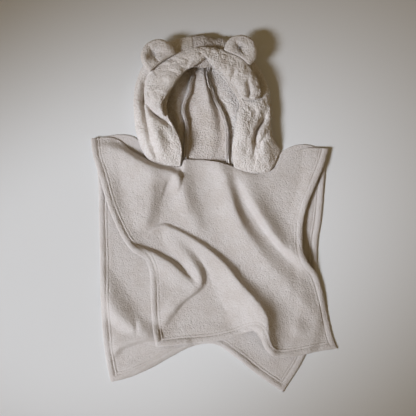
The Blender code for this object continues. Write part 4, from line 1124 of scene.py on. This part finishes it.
def padded_ear(name, material, seed):
    """Dished ear as one closed skin; its rings run from the dish over the rim to the back."""
    ear = EARS[name]
    scaled = [(share * ear.radius, height) for share, height in EAR_SECTION]
    for i, (away, height) in enumerate(scaled[:DISH_POINTS]):
        scaled[i] = (away, DISH_RIM - (DISH_RIM - height) * ear.dish_depth)
    section = edge_curve(scaled, np.linspace(0, 1, EAR_RINGS + 1)) / (ear.radius, 1.0)
    section[0, 0] = section[-1, 0] = EAR_POLE
    rim = int(np.argmax(section[:, 0]))
    grid = np.zeros((EAR_RINGS + 1, EAR_SIDES, 3))
    centre, dish = np.array([ear.x, ear.y]), np.array([ear.dish_x, ear.dish_y])
    for k in range(EAR_SIDES):
        angle = 2 * math.pi * k / EAR_SIDES
        direction = np.array([math.cos(angle), math.sin(angle)])
        edge = centre + direction * ear_reach(ear, direction)
        for ring, (share, height) in enumerate(section):
            middle = dish + (centre - dish) * (0 if ring < rim else (ring - rim) / (EAR_RINGS - rim))
            grid[ring, k, :2] = middle + (edge - middle) * share
            grid[ring, k, 2] = EAR_LIFT + height
    pressed = folded(grid[..., :2], ear.creases)
    on_top = smooth((rim - np.arange(EAR_RINGS + 1)) / RIM_EASE)[:, None]
    lumps = handled((EAR_RINGS + 1, EAR_SIDES + 1), EAR_LUMP_CELLS, seed)[:, :-1]
    turns = np.arange(EAR_SIDES)
    blend = smooth(np.minimum(turns, EAR_SIDES - turns) / JOIN_EASE)
    grid[..., 2] += on_top * (pressed + EAR_LUMP * lumps * blend[None, :])
    grid[..., 2] += EAR_PILE * np.random.default_rng(seed).normal(size=grid.shape[:2])
    faces = grid_faces(EAR_RINGS + 1, EAR_SIDES, closed=True)
    caps = []
    for ring, turn in ((0, 1), (EAR_RINGS, -1)):
        index = ring * EAR_SIDES + np.arange(EAR_SIDES)
        pairs = EAR_SIDES // 2 - 1
        for k in range(pairs):
            caps.append([index[k], index[k + 1], index[-k - 2], index[-k - 1]][::turn])
    piece = make_mesh(name + "_cloth", grid.reshape(-1, 3), np.vstack([faces, caps]), material)
    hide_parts(name)
    return piece


# Depth of the painted shade at the roots of the ears' pile, and the relief of their loops in metres.
EAR_SHADE, EAR_RELIEF = 0.7, 0.0022
ear_left_terry, ear_right_terry = [
    terry(name, LIT_LINING, LINING_SHADE_AND_PATCHES, EAR_LOOPS, EAR_SHADE, EAR_RELIEF)
    for name in ("ear_left_terry", "ear_right_terry")]
ear_left = padded_ear("ear_left", ear_left_terry, 51)
ear_right = padded_ear("ear_right", ear_right_terry, 52)

# ---- Floor, light and camera ----
# Pale plain floor under soft daylight from the left, seen from straight above.

FLOOR_SIZE = 12.0
FLOOR_LEVEL = -0.0004
FLOOR_CLOUD = 0.97      # the darker tone of the floor, as a share of its colour
FLOOR_COLOUR = (0.742, 0.738, 0.721, 1)
CAMERA_HEIGHT = 2.4
CAMERA_PLACE = (-0.016, 0.0143)
VIEW_WIDTH = 1.04
SENSOR = 36.0


def plain_floor():
    """Large matt floor, a hair below the garment, with faint clouds in its tone."""
    half = FLOOR_SIZE / 2
    mesh = bpy.data.meshes.new("floor")
    corners = [(x, y, FLOOR_LEVEL) for x, y in ((-half, -half), (half, -half), (half, half),
                                                (-half, half))]
    mesh.from_pydata(corners, [], [(0, 1, 2, 3)])
    floor = bpy.data.objects.new("floor", mesh)
    bpy.context.scene.collection.objects.link(floor)
    look = {"Roughness": 0.9, "Specular IOR Level": 0.2}
    material, nodes, link, shader = start_material("pale_floor", look)
    place = nodes.new("ShaderNodeTexCoord").outputs["Object"]
    cloud = worked(nodes, link, "TexNoise", place, Scale=2.0, Detail=2.0)
    darker = [FLOOR_CLOUD * c for c in FLOOR_COLOUR[:3]] + [1]
    link(colour_mix(nodes, link, cloud, FLOOR_COLOUR, darker), shader["Base Color"])
    mesh.materials.append(material)


WINDOW_PLACE, WINDOW_AIM = (-1.56, -0.66, 1.40), (-0.16, -0.10, 0)
WINDOW_SIZE, WINDOW_CONE = 0.60, 22.6
WINDOW_POWER = 760.0
WINDOW_COLOUR = (0.93, 1.0, 1.13)
ROOM_COLOUR, ROOM_LIGHT = (1.0, 0.73, 0.38, 1), 0.18


def window_light():
    """Soft lamp at the lower left that fades out past the garment."""
    lamp = bpy.data.lights.new("window", "SPOT")
    lamp.shadow_soft_size = WINDOW_SIZE
    lamp.energy = WINDOW_POWER
    lamp.color = WINDOW_COLOUR
    lamp.spot_size = math.radians(WINDOW_CONE)
    lamp.spot_blend = 1.0
    light = bpy.data.objects.new("window", lamp)
    bpy.context.scene.collection.objects.link(light)
    light.location = WINDOW_PLACE
    toward = np.subtract(WINDOW_AIM, WINDOW_PLACE)
    toward = toward / np.linalg.norm(toward)
    light.rotation_mode = "QUATERNION"
    light.rotation_quaternion = Vector(toward).to_track_quat("-Z", "Y")


plain_floor()
window_light()

world = bpy.data.worlds.new("room")
world.use_nodes = True
background = world.node_tree.nodes["Background"].inputs
background["Color"].default_value = ROOM_COLOUR
background["Strength"].default_value = ROOM_LIGHT
bpy.context.scene.world = world
bpy.context.scene.view_settings.view_transform = "Standard"

camera_data = bpy.data.cameras.new("camera")
camera_data.sensor_width = SENSOR
camera_data.lens = SENSOR * CAMERA_HEIGHT / VIEW_WIDTH
camera = bpy.data.objects.new("camera", camera_data)
camera.location = (*CAMERA_PLACE, CAMERA_HEIGHT)
bpy.context.scene.collection.objects.link(camera)
bpy.context.scene.camera = camera
